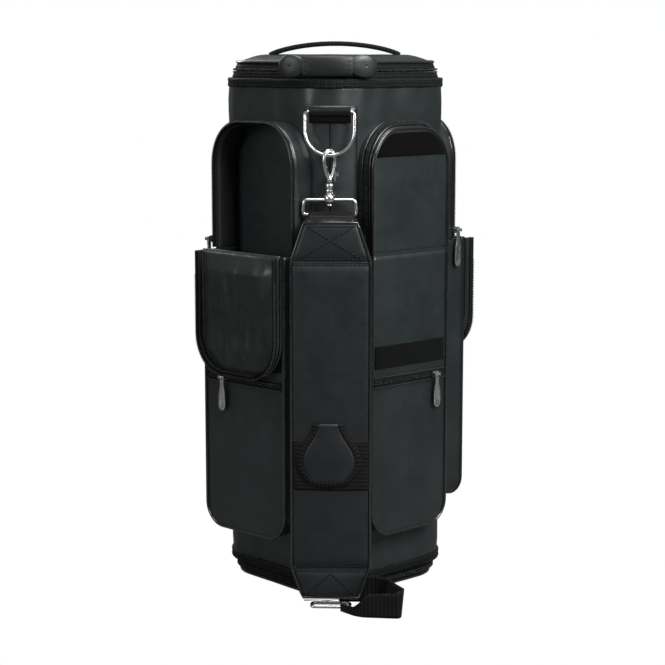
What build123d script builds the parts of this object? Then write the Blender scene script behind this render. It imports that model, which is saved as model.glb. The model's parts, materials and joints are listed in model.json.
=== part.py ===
from build123d import *
import os
from math import cos, radians, sin

os.makedirs("parts", exist_ok=True)

# Millimetres. Origin on the ground at the bag's own axis, +Z up, the strap side towards -Y.

# Bag body: a soft square tube whose faces look out diagonally
body_half = 101
body_corner = 54
shell_low = 18
shell_high = 577
shell_wall = 1.8
stiffener_wall = 3.0
hem_height = 3.0
hem_inset = 11.0
binding_height = 10.0
binding_proud = 1.6

# End lids, closed by a zip all round
zip_inset = 7.0
zip_tape = 1.6
zip_band = 7.6
zip_gap = 0.6
lid_wall = 2.4
top_lid_high = 599
top_lid_panel = 5.0
bottom_lid_panel = 3.2
base_board_thick = 3.0
base_board_inset = 13.0
piping_proud = 1.6
piping_height = 3.6

# Pockets
pocket_low = 74
pocket_high = 524
pocket_top_radius = 42
pocket_bottom_radius = 26
pocket_wall = 2.0
pocket_root = 60
pocket_hinge_z = 388.75
pocket_hinge_proud = 1.5
pocket_hinge_gap = 0.75
arch_tape = 5.7
arch_gap = 0.3
lower_zip_z = 247
lower_zip_height = 12
lower_zip_margin = 13
mate_tape_height = 25
mate_tape_thick = 1.0
mate_tape_margin = 12
loop_tape_z = 275
past_pocket = 20
past_sides = 200
pocket_piping_proud = 1.4
pocket_piping_depth = 3.0

# name: yaw of its face, width, distance of its front and of its arch zip from the axis,
# lower slider place across, side of its arch slider, lid folded down at rest
pockets = {
    "front_left": {"yaw": -41, "width": 124, "front": 147, "zip": 135, "pull": -30, "side": -1, "open": True},
    "front_right": {"yaw": 45, "width": 116, "front": 124, "zip": 113, "pull": 38, "side": 1, "open": False},
    "back_right": {"yaw": 135, "width": 124, "front": 150, "zip": 135, "pull": 20, "side": -1, "open": True},
    "back_left": {"yaw": -135, "width": 116, "front": 124, "zip": 113, "pull": -20, "side": -1,
                  "open": False},
}

# Zip sliders and their pull tabs
slider_width = 9.4
slider_height = 7.0
slider_depth = 2.6
slider_lift = 0.4
slider_corner = 1.4
ear_thick = 1.4
ear_rim = 0.7
ear_clearance = 0.2
barrel_clearance = 0.3
pin_radius = 1.0
pin_clearance = 0.08
barrel_radius = 1.8
barrel_length = 6.2
pin_out = slider_lift + slider_depth + barrel_radius + barrel_clearance
tab_width = 8.4
tab_thick = 1.5
tab_wide_share = 0.76
tab_corner = 3.7
lower_tab_length = 37
arch_tab_length = 43
arch_slider_z = 399
end_slider_yaw = -135
end_slider_across = 22
end_slider_tab = 26
end_slider_tab_start = -2
end_slider_lift = 0.8

# Strap side
strip_width = 57
strip_proud = 1.8
strip_low = 30
strip_high = 549
ring_wire = 2.0
ring_y = -127
ring_tab_width = 44
ring_tab_height = 13
ring_tab_front = -130.6
ring_tab_root = -108
bore_clearance = 0.08
upper_ring = {"half": 26.5, "bar_z": 542.5, "side": 20, "tilt": 8}
lower_ring = {"half": 20, "bar_z": 92, "side": 12, "tilt": 0}
ring_bend = 4

hook_y = -133.8
eye_radius = 8.5
eye_wire = 2.2
eye_z = 493.6
eye_turn = 40
shank_radius = 3.3
shank_low = 467
collar_radius = 4.6
collar_low = 455.4
post_radius = 2.0
post_low = 442
post_head = 3.2
post_head_height = 2.4
gate_length = 12
gate_pivot_z = 469.5
gate_foot = 1.5
gate_depth = 4
gate_width = 2.6
gate_gap = 1.1
thumb_length = 5
thumb_height = 3
thumb_out = 2.4
gate_round = 1.2

loop_half = 29
loop_bar_z = 433
loop_top_z = 449
boss_size = (14, 9, 10)
boss_top_z = 455
boss_corner = 3

pad_back = -146
pad_thick = 13
pad_width = 87
pad_centre = 2.0
pad_top_z = 427.5
pad_top_width = 58
pad_top_centre = 2.0
pad_full_z = 384
pad_taper_z = 46
pad_low_z = 12
pad_low_width = 61
pad_corner = 4
pad_edge_round = 3
patch_low = 135
patch_high = 209
patch_thick = 1.4
patch_margin = 4
patch_corner = 8
sleeve_radius = 4.2
sleeve_length = 50
sewn_thick = 3
sewn_low = 408
sewn_high = 422

webbing_thick = 1.8
webbing_low = 0.8
webbing_width = 30
webbing_bend = 3.4
tail_route = [(14, -164), (34, -185), (78, -188), (81, -178),
              (70, -158), (62, -138), (50, -131), (10, -130.4)]
adjuster_half = 21
adjuster_depth = 14
adjuster_y = -158
adjuster_z = 3.4
adjuster_wire = 1.8

# Carrying handle on the rim of the top lid, and the grab strap across it
handle_centre = (-3, -30)
handle_radius = 92
handle_thick = 6
handle_reach = 57
handle_low = 579
handle_height = 24
tongue_width = 18
tongue_depth = 34
tongue_centre_y = -90
tongue_thick = 2
grab_half = 72
grab_top = 614
grab_thick = 7
grab_width = 28
grab_foot = 10


def wall_plane(yaw, out, across=0.0, up=0.0):
    # A plane that faces outwards at this yaw, with its x sideways and its y up
    normal = Vector(sin(radians(yaw)), -cos(radians(yaw)), 0)
    sideways = Vector(cos(radians(yaw)), sin(radians(yaw)), 0)
    origin = normal * out + sideways * across + Vector(0, 0, up)
    return Plane(origin=origin, x_dir=sideways, z_dir=normal)


def save(piece, name):
    piece.label = name
    export_step(piece, f"parts/{name}.step")


def outline(inset, mode=Mode.ADD):
    # The bag's outline seen from above, drawn in by this much
    side = 2 * (body_half - inset)
    RectangleRounded(side, side, body_corner - inset, rotation=45, mode=mode)


def band(outer, inner, low, high):
    # A wall that follows the outline, added to the part that is open
    with BuildSketch(Plane.XY.offset(low)) as wall:
        outline(outer)
        outline(inner, Mode.SUBTRACT)
    extrude(wall.sketch, amount=high - low)


def slab(inset, low, high):
    # A full layer of the outline, added to the part that is open
    with BuildSketch(Plane.XY.offset(low)) as layer:
        outline(inset)
    extrude(layer.sketch, amount=high - low)


# ---- bag body

with BuildPart() as body_block:
    slab(0, 0, top_lid_high)

with BuildPart() as body_shell:
    band(0, shell_wall, shell_low, shell_high)
save(body_shell.part, "body_shell")

# The hems turn in at both ends and carry the fixed halves of the end zips
with BuildPart() as end_hems:
    band(shell_wall, hem_inset, shell_low, shell_low + hem_height)
    band(shell_wall, hem_inset, shell_high - hem_height, shell_high)
save(end_hems.part, "end_hems")

with BuildPart() as wall_stiffener:
    band(shell_wall, shell_wall + stiffener_wall, shell_low + hem_height, shell_high - hem_height)
save(wall_stiffener.part, "wall_stiffener")

with BuildPart() as bindings:
    band(-binding_proud, 0, shell_low, shell_low + binding_height)
    band(-binding_proud, 0, shell_high - binding_height, shell_high)
save(bindings.part, "bindings")

with BuildPart() as front_strip:
    band(-strip_proud, 0, strip_low, strip_high)
    with BuildSketch(Plane.XY.offset(strip_low)):
        with Locations((0, -body_half)):
            Rectangle(strip_width, body_half)
    extrude(amount=strip_high - strip_low, mode=Mode.INTERSECT)
save(front_strip.part, "front_strip")

# ---- end lids: each is a shallow pan with its half of the zip round it

top_zip_z = shell_high + zip_band
with BuildPart() as top_lid:
    tape_back = zip_inset + zip_tape
    band(tape_back, tape_back + lid_wall, top_zip_z + zip_gap, top_lid_high - top_lid_panel)
    slab(zip_inset, top_lid_high - top_lid_panel, top_lid_high)
save(top_lid.part, "top_lid")

with BuildPart() as top_lid_zip_tape:
    band(zip_inset, zip_inset + zip_tape, top_zip_z + zip_gap, top_lid_high - top_lid_panel)
save(top_lid_zip_tape.part, "top_lid_zip_tape")

with BuildPart() as top_lid_piping:
    piping_low = top_lid_high - top_lid_panel - piping_height / 2
    band(zip_inset - piping_proud, zip_inset, piping_low, piping_low + piping_height)
save(top_lid_piping.part, "top_lid_piping")

bottom_zip_z = shell_low - zip_band
with BuildPart() as bottom_lid:
    band(zip_inset + zip_tape, zip_inset + zip_tape + lid_wall, bottom_lid_panel, bottom_zip_z - zip_gap)
    slab(zip_inset, 0, bottom_lid_panel)
save(bottom_lid.part, "bottom_lid")

with BuildPart() as bottom_lid_zip_tape:
    band(zip_inset, zip_inset + zip_tape, bottom_lid_panel, bottom_zip_z - zip_gap)
save(bottom_lid_zip_tape.part, "bottom_lid_zip_tape")

with BuildPart() as bottom_lid_piping:
    piping_low = bottom_lid_panel - piping_height / 2
    band(zip_inset - piping_proud, zip_inset, piping_low, piping_low + piping_height)
save(bottom_lid_piping.part, "bottom_lid_piping")

with BuildPart() as base_board:
    slab(base_board_inset, bottom_lid_panel, bottom_lid_panel + base_board_thick)
save(base_board.part, "base_board")


# ---- handle and grab strap on the top lid

def handle_arc(reach, low, height, thick):
    # A stretch of the handle's curve, as far as reach to each side
    with BuildSketch(Plane.XY.offset(low)) as curve:
        with Locations(handle_centre):
            Circle(handle_radius + thick / 2)
            Circle(handle_radius - thick / 2, mode=Mode.SUBTRACT)
        with Locations((handle_centre[0], handle_centre[1] - handle_radius)):
            Rectangle(2 * reach, handle_radius, mode=Mode.INTERSECT)
    extrude(curve.sketch, amount=height)


with BuildPart() as carry_handle:
    handle_arc(handle_reach, handle_low, handle_height, handle_thick)
    with BuildSketch(Plane.XY.offset(top_lid_high)):
        for side in (-1, 1):
            with Locations((handle_centre[0] + side * (handle_reach - tongue_width / 2), tongue_centre_y)):
                Rectangle(tongue_width, tongue_depth)
    extrude(amount=tongue_thick)
save(carry_handle.part, "carry_handle")

with BuildPart() as grab_strap:
    with BuildSketch(Plane.XZ):
        with BuildLine():
            ThreePointArc((-grab_half, top_lid_high), (0, grab_top), (grab_half, top_lid_high))
            Line((grab_half, top_lid_high), (grab_half - grab_foot, top_lid_high))
            ThreePointArc((grab_half - grab_foot, top_lid_high), (0, grab_top - grab_thick),
                          (grab_foot - grab_half, top_lid_high))
            Line((grab_foot - grab_half, top_lid_high), (-grab_half, top_lid_high))
        make_face()
    extrude(amount=grab_width / 2, both=True)
save(grab_strap.part, "grab_strap")


# ---- pockets

def pocket_outline(width, inset):
    # A pocket's front seen face on: a tall panel with an arched top
    centre_z = (pocket_low + pocket_high) / 2
    with BuildSketch() as panel:
        with Locations((0, centre_z)):
            Rectangle(width - 2 * inset, pocket_high - pocket_low - 2 * inset)
        fillet(panel.vertices().group_by(Axis.Y)[-1], pocket_top_radius - inset)
        fillet(panel.vertices().group_by(Axis.Y)[0], pocket_bottom_radius - inset)
    return panel.sketch


def above_hinge(plane, depth, low):
    # Keeps only what is above this height in the part that is open
    with BuildSketch(plane) as window:
        with Locations((0, (low + pocket_high + past_pocket) / 2)):
            Rectangle(past_sides, pocket_high + past_pocket - low)
    extrude(window.sketch, amount=depth, mode=Mode.INTERSECT)


def make_pocket(pocket):
    # The fixed shell: full depth below the hinge, and the back half of the arch above it
    yaw, width, front = pocket["yaw"], pocket["width"], pocket["front"]
    arch_front = pocket["zip"] - arch_gap - arch_tape
    root = wall_plane(yaw, pocket_root)
    fold = pocket_hinge_z - pocket_hinge_gap
    with BuildPart() as shell:
        with BuildSketch(root):
            add(pocket_outline(width, 0))
        extrude(amount=front - pocket_root)
        with BuildSketch(wall_plane(yaw, arch_front)):
            with Locations((0, (fold + pocket_high + past_pocket) / 2)):
                Rectangle(past_sides, pocket_high + past_pocket - fold)
        extrude(amount=front - arch_front + 1, mode=Mode.SUBTRACT)
        with BuildSketch(root):
            add(pocket_outline(width, pocket_wall))
        extrude(amount=front - pocket_wall - pocket_root, mode=Mode.SUBTRACT)
        with BuildSketch(wall_plane(yaw, front - pocket_wall)):
            with Locations((0, lower_zip_z)):
                Rectangle(width - 2 * lower_zip_margin, lower_zip_height)
        extrude(amount=pocket_wall, mode=Mode.SUBTRACT)
        add(body_block.part, mode=Mode.SUBTRACT)
        add(front_strip.part, mode=Mode.SUBTRACT)
    return shell.part


def arch_band(pocket, start, depth, wall, low):
    # A piece of the pocket's gusset round the arch
    plane = wall_plane(pocket["yaw"], start)
    with BuildPart() as piece:
        with BuildSketch(plane):
            add(pocket_outline(pocket["width"], 0))
            add(pocket_outline(pocket["width"], wall), mode=Mode.SUBTRACT)
        extrude(amount=depth)
        above_hinge(plane, depth, low)
    return piece.part


def make_lid(pocket):
    # The arched lid: the front panel above the hinge with the front half of the gusset
    start = pocket["zip"] + arch_gap + arch_tape
    depth = pocket["front"] - start
    plane = wall_plane(pocket["yaw"], start)
    low = pocket_hinge_z + pocket_hinge_gap
    with BuildPart() as lid:
        with BuildSketch(plane):
            add(pocket_outline(pocket["width"], 0))
        extrude(amount=depth)
        with BuildSketch(plane):
            add(pocket_outline(pocket["width"], pocket_wall))
        extrude(amount=depth - pocket_wall, mode=Mode.SUBTRACT)
        above_hinge(plane, depth, low)
    return lid.part


def face_tape(pocket, height, centre_z, out, thick, margin):
    # A flat tape across the front of a pocket
    with BuildPart() as tape:
        with BuildSketch(wall_plane(pocket["yaw"], out)):
            with Locations((0, centre_z)):
                Rectangle(pocket["width"] - 2 * margin, height)
        extrude(amount=thick)
    return tape.part


def make_pocket_piping(pocket):
    # The corded edge round the lower front panel
    plane = wall_plane(pocket["yaw"], pocket["front"] - pocket_piping_depth)
    low = pocket_low - past_pocket
    high = pocket_hinge_z - pocket_hinge_gap
    with BuildPart() as cord:
        with BuildSketch(plane):
            add(pocket_outline(pocket["width"], -pocket_piping_proud))
            add(pocket_outline(pocket["width"], 0), mode=Mode.SUBTRACT)
        extrude(amount=pocket_piping_depth)
        with BuildSketch(plane):
            with Locations((0, (low + high) / 2)):
                Rectangle(past_sides, high - low)
        extrude(amount=pocket_piping_depth, mode=Mode.INTERSECT)
    return cord.part


def at_rest(piece, pocket):
    # A lid that is folded down at rest is turned half a turn about its hinge line
    if not pocket["open"]:
        return piece
    hinge = wall_plane(pocket["yaw"], pocket["front"] + pocket_hinge_proud, 0, pocket_hinge_z)
    return piece.rotate(Axis(hinge.origin, hinge.x_dir), 180)


def make_slider(plane):
    # The body of a zip slider with two ears that carry the pull tab's pin
    ear_offset = barrel_length / 2 + ear_clearance + ear_thick / 2
    with BuildPart() as slider:
        with BuildSketch(plane.offset(slider_lift)):
            RectangleRounded(slider_width, slider_height, slider_corner)
        extrude(amount=slider_depth)
        with BuildSketch(plane.offset(slider_lift + slider_depth)):
            with Locations((-ear_offset, 0), (ear_offset, 0)):
                Rectangle(ear_thick, 2 * (pin_radius + ear_rim))
        extrude(amount=pin_out + pin_radius + ear_rim - slider_lift - slider_depth)
        pin_origin = plane.origin + plane.z_dir * pin_out - plane.x_dir * ear_offset
        with BuildSketch(Plane(origin=pin_origin, x_dir=plane.y_dir, z_dir=plane.x_dir)):
            Circle(pin_radius)
        extrude(amount=2 * ear_offset)
    return slider.part


def make_tab(plane, length):
    # The pull tab: a barrel round the slider's pin and a plate that hangs from it
    with BuildPart() as tab:
        barrel_origin = plane.origin + plane.z_dir * pin_out - plane.x_dir * barrel_length / 2
        with BuildSketch(Plane(origin=barrel_origin, x_dir=plane.y_dir, z_dir=plane.x_dir)):
            Circle(barrel_radius)
            Circle(pin_radius + pin_clearance, mode=Mode.SUBTRACT)
        extrude(amount=barrel_length)
        plate_top = -pin_radius - ear_rim / 2
        with BuildSketch(plane.offset(pin_out - tab_thick / 2)):
            with Locations((0, (plate_top - length) / 2)):
                Rectangle(barrel_length, length + plate_top)
            with Locations((0, length * (tab_wide_share / 2 - 1))):
                RectangleRounded(tab_width, length * tab_wide_share, tab_corner)
        extrude(amount=tab_thick)
    return tab.part


def lower_slider_plane(pocket):
    return wall_plane(pocket["yaw"], pocket["front"], pocket["pull"], lower_zip_z)


def arch_slider_plane(pocket):
    # On the side of the gusset, over the join of the two arch tapes
    side = pocket["side"]
    return wall_plane(pocket["yaw"] + 90 * side, pocket["width"] / 2, -side * pocket["zip"], arch_slider_z)


piping_parts = []
loop_parts = []
fixed_tape_parts = []
for name, pocket in pockets.items():
    save(make_pocket(pocket), f"{name}_pocket")
    save(at_rest(make_lid(pocket), pocket), f"{name}_lid")
    lid_tape = arch_band(pocket, pocket["zip"] + arch_gap, arch_tape, zip_tape,
                         pocket_hinge_z + pocket_hinge_gap)
    save(at_rest(lid_tape, pocket), f"{name}_lid_zip_tape")
    hook_tape_z = 2 * pocket_hinge_z - loop_tape_z
    hook_tape = face_tape(pocket, mate_tape_height, hook_tape_z, pocket["front"],
                          mate_tape_thick, mate_tape_margin)
    save(at_rest(hook_tape, pocket), f"{name}_hook_tape")
    save(make_slider(lower_slider_plane(pocket)), f"{name}_lower_slider")
    save(make_tab(lower_slider_plane(pocket), lower_tab_length), f"{name}_lower_pull")
    save(make_slider(arch_slider_plane(pocket)), f"{name}_arch_slider")
    save(make_tab(arch_slider_plane(pocket), arch_tab_length), f"{name}_arch_pull")

    piping_parts.append(make_pocket_piping(pocket))
    loop_parts.append(face_tape(pocket, mate_tape_height, loop_tape_z, pocket["front"],
                                mate_tape_thick, mate_tape_margin))
    fixed_tape_parts.append(arch_band(pocket, pocket["zip"] - arch_gap - arch_tape, arch_tape, zip_tape,
                                      pocket_hinge_z - pocket_hinge_gap))
    fixed_tape_parts.append(face_tape(pocket, lower_zip_height, lower_zip_z,
                                      pocket["front"] - pocket_wall, pocket_wall, lower_zip_margin))

with BuildPart() as pocket_piping:
    add(piping_parts)
save(pocket_piping.part, "pocket_piping")

with BuildPart() as loop_tapes:
    add(loop_parts)
save(loop_tapes.part, "loop_tapes")

with BuildPart() as fixed_zip_tapes:
    add(fixed_tape_parts)
    band(zip_inset, zip_inset + zip_tape, shell_high, top_zip_z)
    band(zip_inset, zip_inset + zip_tape, bottom_zip_z, shell_low)
save(fixed_zip_tapes.part, "fixed_zip_tapes")


# ---- sliders of the two end zips, each with its own short pull lying flat

def make_end_slider(height):
    plane = wall_plane(end_slider_yaw, body_half - zip_inset + end_slider_lift, end_slider_across, height)
    with BuildPart() as slider:
        with BuildSketch(plane):
            RectangleRounded(slider_height, slider_width, slider_corner)
        extrude(amount=slider_depth)
        with BuildSketch(plane.offset(slider_depth)):
            with Locations((end_slider_tab / 2 + end_slider_tab_start, 0)):
                RectangleRounded(end_slider_tab, slider_height, slider_corner)
        extrude(amount=tab_thick)
    return slider.part


save(make_end_slider(top_zip_z + zip_gap / 2), "top_zip_slider")
save(make_end_slider(bottom_zip_z - zip_gap / 2), "bottom_zip_slider")


# ---- rings and the tabs that hold them

def make_ring(ring):
    # A D: a straight bar in the tab, two sides, and a half circle below
    half, bar_z = ring["half"], ring["bar_z"]
    bend_z = bar_z - ring_bend
    low_z = bar_z - ring["side"]
    bend_in = ring_bend * sin(radians(45))
    hang = Plane(origin=(0, ring_y, bar_z), x_dir=(1, 0, 0), z_dir=(0, -1, 0))
    hang = hang.rotated((-ring["tilt"], 0, 0))
    corner = ring_bend - bend_in
    with BuildPart() as wire:
        with BuildLine(hang) as path:
            Line((0, 0), (half - ring_bend, 0))
            ThreePointArc((half - ring_bend, 0), (half - corner, -corner), (half, bend_z - bar_z))
            Line((half, bend_z - bar_z), (half, low_z - bar_z))
            ThreePointArc((half, low_z - bar_z), (0, low_z - bar_z - half), (-half, low_z - bar_z))
            Line((-half, low_z - bar_z), (-half, bend_z - bar_z))
            ThreePointArc((-half, bend_z - bar_z), (corner - half, -corner), (ring_bend - half, 0))
            Line((ring_bend - half, 0), (0, 0))
        with BuildSketch(Plane(origin=hang.origin, x_dir=hang.y_dir, z_dir=hang.x_dir)):
            Circle(ring_wire)
        sweep(path=path.wires()[0])
    return wire.part


def wire_frame(plane, half, height, wire):
    # A wire bent into a rounded rectangle, its lower bar on the plane's own x axis
    with BuildSketch(plane) as shape:
        with Locations((0, height / 2)):
            RectangleRounded(2 * half, height, ring_bend)
    path = shape.sketch.faces()[0].outer_wire()
    with BuildPart() as frame:
        with BuildSketch(Plane(origin=path @ 0, z_dir=path % 0)):
            Circle(wire)
        sweep(path=path)
    return frame.part


save(make_ring(upper_ring), "upper_d_ring")
save(make_ring(lower_ring), "lower_d_ring")

with BuildPart() as ring_tabs:
    for ring in (upper_ring, lower_ring):
        low = ring["bar_z"] - ring_tab_height / 2
        with BuildSketch(Plane.XY.offset(low)):
            with Locations((0, (ring_tab_front + ring_tab_root) / 2)):
                Rectangle(min(ring_tab_width, 2 * (ring["half"] - ring_bend)), ring_tab_root - ring_tab_front)
        extrude(amount=ring_tab_height)
    with BuildSketch(Plane.XY.offset(strip_low)):
        outline(-strip_proud)
    extrude(amount=strip_high - strip_low, mode=Mode.SUBTRACT)
    for ring in (upper_ring, lower_ring):
        with BuildSketch(Plane.YZ.offset(-strip_width)):
            with Locations((ring_y, ring["bar_z"])):
                Circle(ring_wire + bore_clearance)
        extrude(amount=2 * strip_width, mode=Mode.SUBTRACT)
save(ring_tabs.part, "ring_tabs")

# ---- snap hook: an eye on the upper ring, a shank, and a post that turns in the strap loop

eye_dir = Vector(cos(radians(eye_turn)), sin(radians(eye_turn)), 0)
eye_axis = Vector(-sin(radians(eye_turn)), cos(radians(eye_turn)), 0)
with BuildPart() as snap_hook:
    eye_plane = Plane(origin=(0, hook_y, eye_z), x_dir=eye_dir, z_dir=(0, 0, 1))
    with BuildSketch(eye_plane):
        with Locations((eye_radius, 0)):
            Circle(eye_wire)
    revolve(axis=Axis((0, hook_y, eye_z), eye_axis))
    with BuildSketch(Plane.XY.offset(shank_low)):
        with Locations((0, hook_y)):
            Circle(shank_radius)
    extrude(amount=eye_z - eye_radius - shank_low)
    with BuildSketch(Plane.XY.offset(collar_low)):
        with Locations((0, hook_y)):
            Circle(collar_radius)
    extrude(amount=shank_low - collar_low)
    with BuildSketch(Plane.XY.offset(post_low)):
        with Locations((0, hook_y)):
            Circle(post_radius)
    extrude(amount=collar_low - post_low)
    with BuildSketch(Plane.XY.offset(post_low)):
        with Locations((0, hook_y)):
            Circle(post_head)
    extrude(amount=post_head_height)
save(snap_hook.part, "snap_hook")

# The spring gate's thumb lever stands beside the shank
gate_pivot = Vector(0, hook_y, gate_pivot_z) + eye_dir * (shank_radius + gate_gap + gate_width / 2)
with BuildPart() as hook_gate:
    gate_plane = Plane(origin=gate_pivot + eye_axis * gate_depth / 2, x_dir=eye_dir, z_dir=-eye_axis)
    with BuildSketch(gate_plane):
        with Locations((0, gate_length / 2 - gate_foot)):
            RectangleRounded(gate_width, gate_length, gate_round)
        with Locations((thumb_out, gate_length / 2)):
            RectangleRounded(thumb_length, thumb_height, gate_round)
    extrude(amount=gate_depth)
save(hook_gate.part, "hook_gate")

# ---- strap loop: a flat wire frame with a boss for the hook's post

with BuildPart() as strap_loop:
    loop_plane = Plane(origin=(0, hook_y, loop_bar_z), x_dir=(1, 0, 0), z_dir=(0, -1, 0))
    add(wire_frame(loop_plane, loop_half, loop_top_z - loop_bar_z, ring_wire))
    boss_low = boss_top_z - boss_size[2]
    with BuildSketch(Plane.XY.offset(boss_low)):
        with Locations((0, hook_y)):
            RectangleRounded(boss_size[0], boss_size[1], boss_corner)
    extrude(amount=boss_size[2])
    with BuildSketch(Plane.XY.offset(boss_low)):
        with Locations((0, hook_y)):
            Circle(post_radius + bore_clearance)
    extrude(amount=boss_size[2], mode=Mode.SUBTRACT)
save(strap_loop.part, "strap_loop")

# ---- shoulder pad and what is sewn to it

with BuildPart() as shoulder_pad:
    with BuildSketch(Plane(origin=(0, pad_back, 0), x_dir=(1, 0, 0), z_dir=(0, -1, 0))) as pad_face:
        with BuildLine():
            Polyline((pad_top_centre - pad_top_width / 2, pad_top_z),
                     (pad_top_centre + pad_top_width / 2, pad_top_z),
                     (pad_centre + pad_width / 2, pad_full_z),
                     (pad_centre + pad_width / 2, pad_taper_z),
                     (pad_centre + pad_low_width / 2, pad_low_z),
                     (pad_centre - pad_low_width / 2, pad_low_z),
                     (pad_centre - pad_width / 2, pad_taper_z),
                     (pad_centre - pad_width / 2, pad_full_z), close=True)
        make_face()
        fillet(pad_face.vertices(), pad_corner)
    extrude(amount=pad_thick)
    fillet(shoulder_pad.faces().sort_by(Axis.Y)[0].edges(), pad_edge_round)
save(shoulder_pad.part, "shoulder_pad")

with BuildPart() as grip_patch:
    patch_plane = Plane(origin=(0, pad_back - pad_thick, 0), x_dir=(1, 0, 0), z_dir=(0, -1, 0))
    with BuildSketch(patch_plane):
        with Locations((pad_centre, (patch_low + patch_high) / 2)):
            RectangleRounded(pad_width - 2 * patch_margin, patch_high - patch_low, patch_corner)
    extrude(amount=patch_thick)
save(grip_patch.part, "grip_patch")

with BuildPart() as strap_webbing:
    # A sleeve round the loop's lower bar, sewn to the back of the pad
    with BuildSketch(Plane.YZ.offset(-sleeve_length / 2)):
        with Locations((hook_y, loop_bar_z)):
            Circle(sleeve_radius)
        with BuildLine():
            Polyline((hook_y - sleeve_radius + 1, loop_bar_z), (pad_back, sewn_high), (pad_back, sewn_low),
                     (pad_back + sewn_thick, sewn_low), (pad_back + sewn_thick, sewn_high - sewn_thick),
                     (hook_y - 1, loop_bar_z - sleeve_radius + 1), close=True)
        make_face()
        with Locations((hook_y, loop_bar_z)):
            Circle(ring_wire + bore_clearance, mode=Mode.SUBTRACT)
    extrude(amount=sleeve_length)
    # The free tail stands on its edge: out to the right, round a fold, and back behind the pad
    with BuildLine(Plane.XY.offset(webbing_low)) as route:
        FilletPolyline(*tail_route, radius=webbing_bend)
    with BuildSketch(Plane(origin=route.wires()[0] @ 0, x_dir=(0, 0, 1),
                           z_dir=route.wires()[0] % 0)):
        with Locations((webbing_width / 2, 0)):
            Rectangle(webbing_width, webbing_thick)
    sweep(path=route.wires()[0])
save(strap_webbing.part, "strap_webbing")

# The flat adjuster ring under the pad's lower end, which the tail passes through
adjuster_plane = Plane(origin=(pad_centre, adjuster_y, adjuster_z))
save(wire_frame(adjuster_plane, adjuster_half, adjuster_depth, adjuster_wire), "adjuster_ring")
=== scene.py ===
import bpy
import json
import math
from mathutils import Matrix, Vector, noise
from mathutils.bvhtree import BVHTree


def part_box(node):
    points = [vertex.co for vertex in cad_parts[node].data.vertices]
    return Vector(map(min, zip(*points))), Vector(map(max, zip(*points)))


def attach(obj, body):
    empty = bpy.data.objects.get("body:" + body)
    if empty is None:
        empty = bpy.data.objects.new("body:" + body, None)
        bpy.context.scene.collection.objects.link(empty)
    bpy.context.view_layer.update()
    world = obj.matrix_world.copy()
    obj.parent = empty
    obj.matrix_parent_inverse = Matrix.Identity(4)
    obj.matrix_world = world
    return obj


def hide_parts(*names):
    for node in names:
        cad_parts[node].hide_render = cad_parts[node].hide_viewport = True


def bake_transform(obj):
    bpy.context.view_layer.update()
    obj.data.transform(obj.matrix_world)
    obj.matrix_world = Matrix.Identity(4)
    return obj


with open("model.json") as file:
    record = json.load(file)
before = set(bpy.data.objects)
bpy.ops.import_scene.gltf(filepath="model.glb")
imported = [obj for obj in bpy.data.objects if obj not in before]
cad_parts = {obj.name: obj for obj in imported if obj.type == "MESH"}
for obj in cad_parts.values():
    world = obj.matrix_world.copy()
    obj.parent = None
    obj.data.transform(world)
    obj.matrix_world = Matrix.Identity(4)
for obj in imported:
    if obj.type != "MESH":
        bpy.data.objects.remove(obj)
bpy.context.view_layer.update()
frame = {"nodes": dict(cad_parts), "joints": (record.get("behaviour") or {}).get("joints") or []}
joints = {joint["name"]: joint for joint in frame["joints"]}
print("frame loaded:", len(frame["nodes"]), "nodes")

# Everything below is worked out in millimetres and turned into metres when a mesh is made.
mm = 0.001
up = Vector((0, 0, 1))


def boxOf(node):
    low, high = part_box(node)
    return Vector(low) / mm, Vector(high) / mm


def wobble(point, size, seed=0.0):
    return noise.noise(Vector(point) / size + Vector((seed, seed * 1.7, -seed)))


# ---------- shapes

def evenly(low, high, count):
    return [low + (high - low) * k / count for k in range(count + 1)]


def across(half, count):
    # even places from -half to half, count of them on each side of the middle
    return [half * a / count for a in range(-count, count + 1)]


def fullTurn(sides):
    angles = [2 * math.pi * k / sides for k in range(sides)]
    return [(math.cos(angle), math.sin(angle)) for angle in angles]


def newShape():
    return {"verts": [], "faces": [], "uvs": []}


def addGrid(shape, rows, wrap=False):
    # rows of points, each as long as the next; wrap joins the last column to the first
    base = len(shape["verts"])
    count = len(rows[0])
    vAt = 0.0
    heights = []
    for i, row in enumerate(rows):
        if i:
            vAt += (row[count // 2] - rows[i - 1][count // 2]).length
        heights.append(vAt)
        shape["verts"].extend(row)
    middle = rows[len(rows) // 2]
    along = [0.0]
    for j in range(1, count + 1):
        along.append(along[-1] + (middle[j % count] - middle[j - 1]).length)
    columns = count if wrap else count - 1
    for i in range(len(rows) - 1):
        for j in range(columns):
            k = (j + 1) % count
            a, b = base + i * count, base + (i + 1) * count
            shape["faces"].append((a + j, a + k, b + k, b + j))
            shape["uvs"].append(((along[j], heights[i]), (along[j + 1], heights[i]),
                                 (along[j + 1], heights[i + 1]), (along[j], heights[i + 1])))


def addCap(shape, points, turned=False):
    # one face over an open end, on corners of its own
    base = len(shape["verts"])
    shape["verts"].extend(points)
    order = tuple(range(base, base + len(points)))
    shape["faces"].append(order[::-1] if turned else order)
    shape["uvs"].append(tuple((0, 0) for _ in order))


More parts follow.
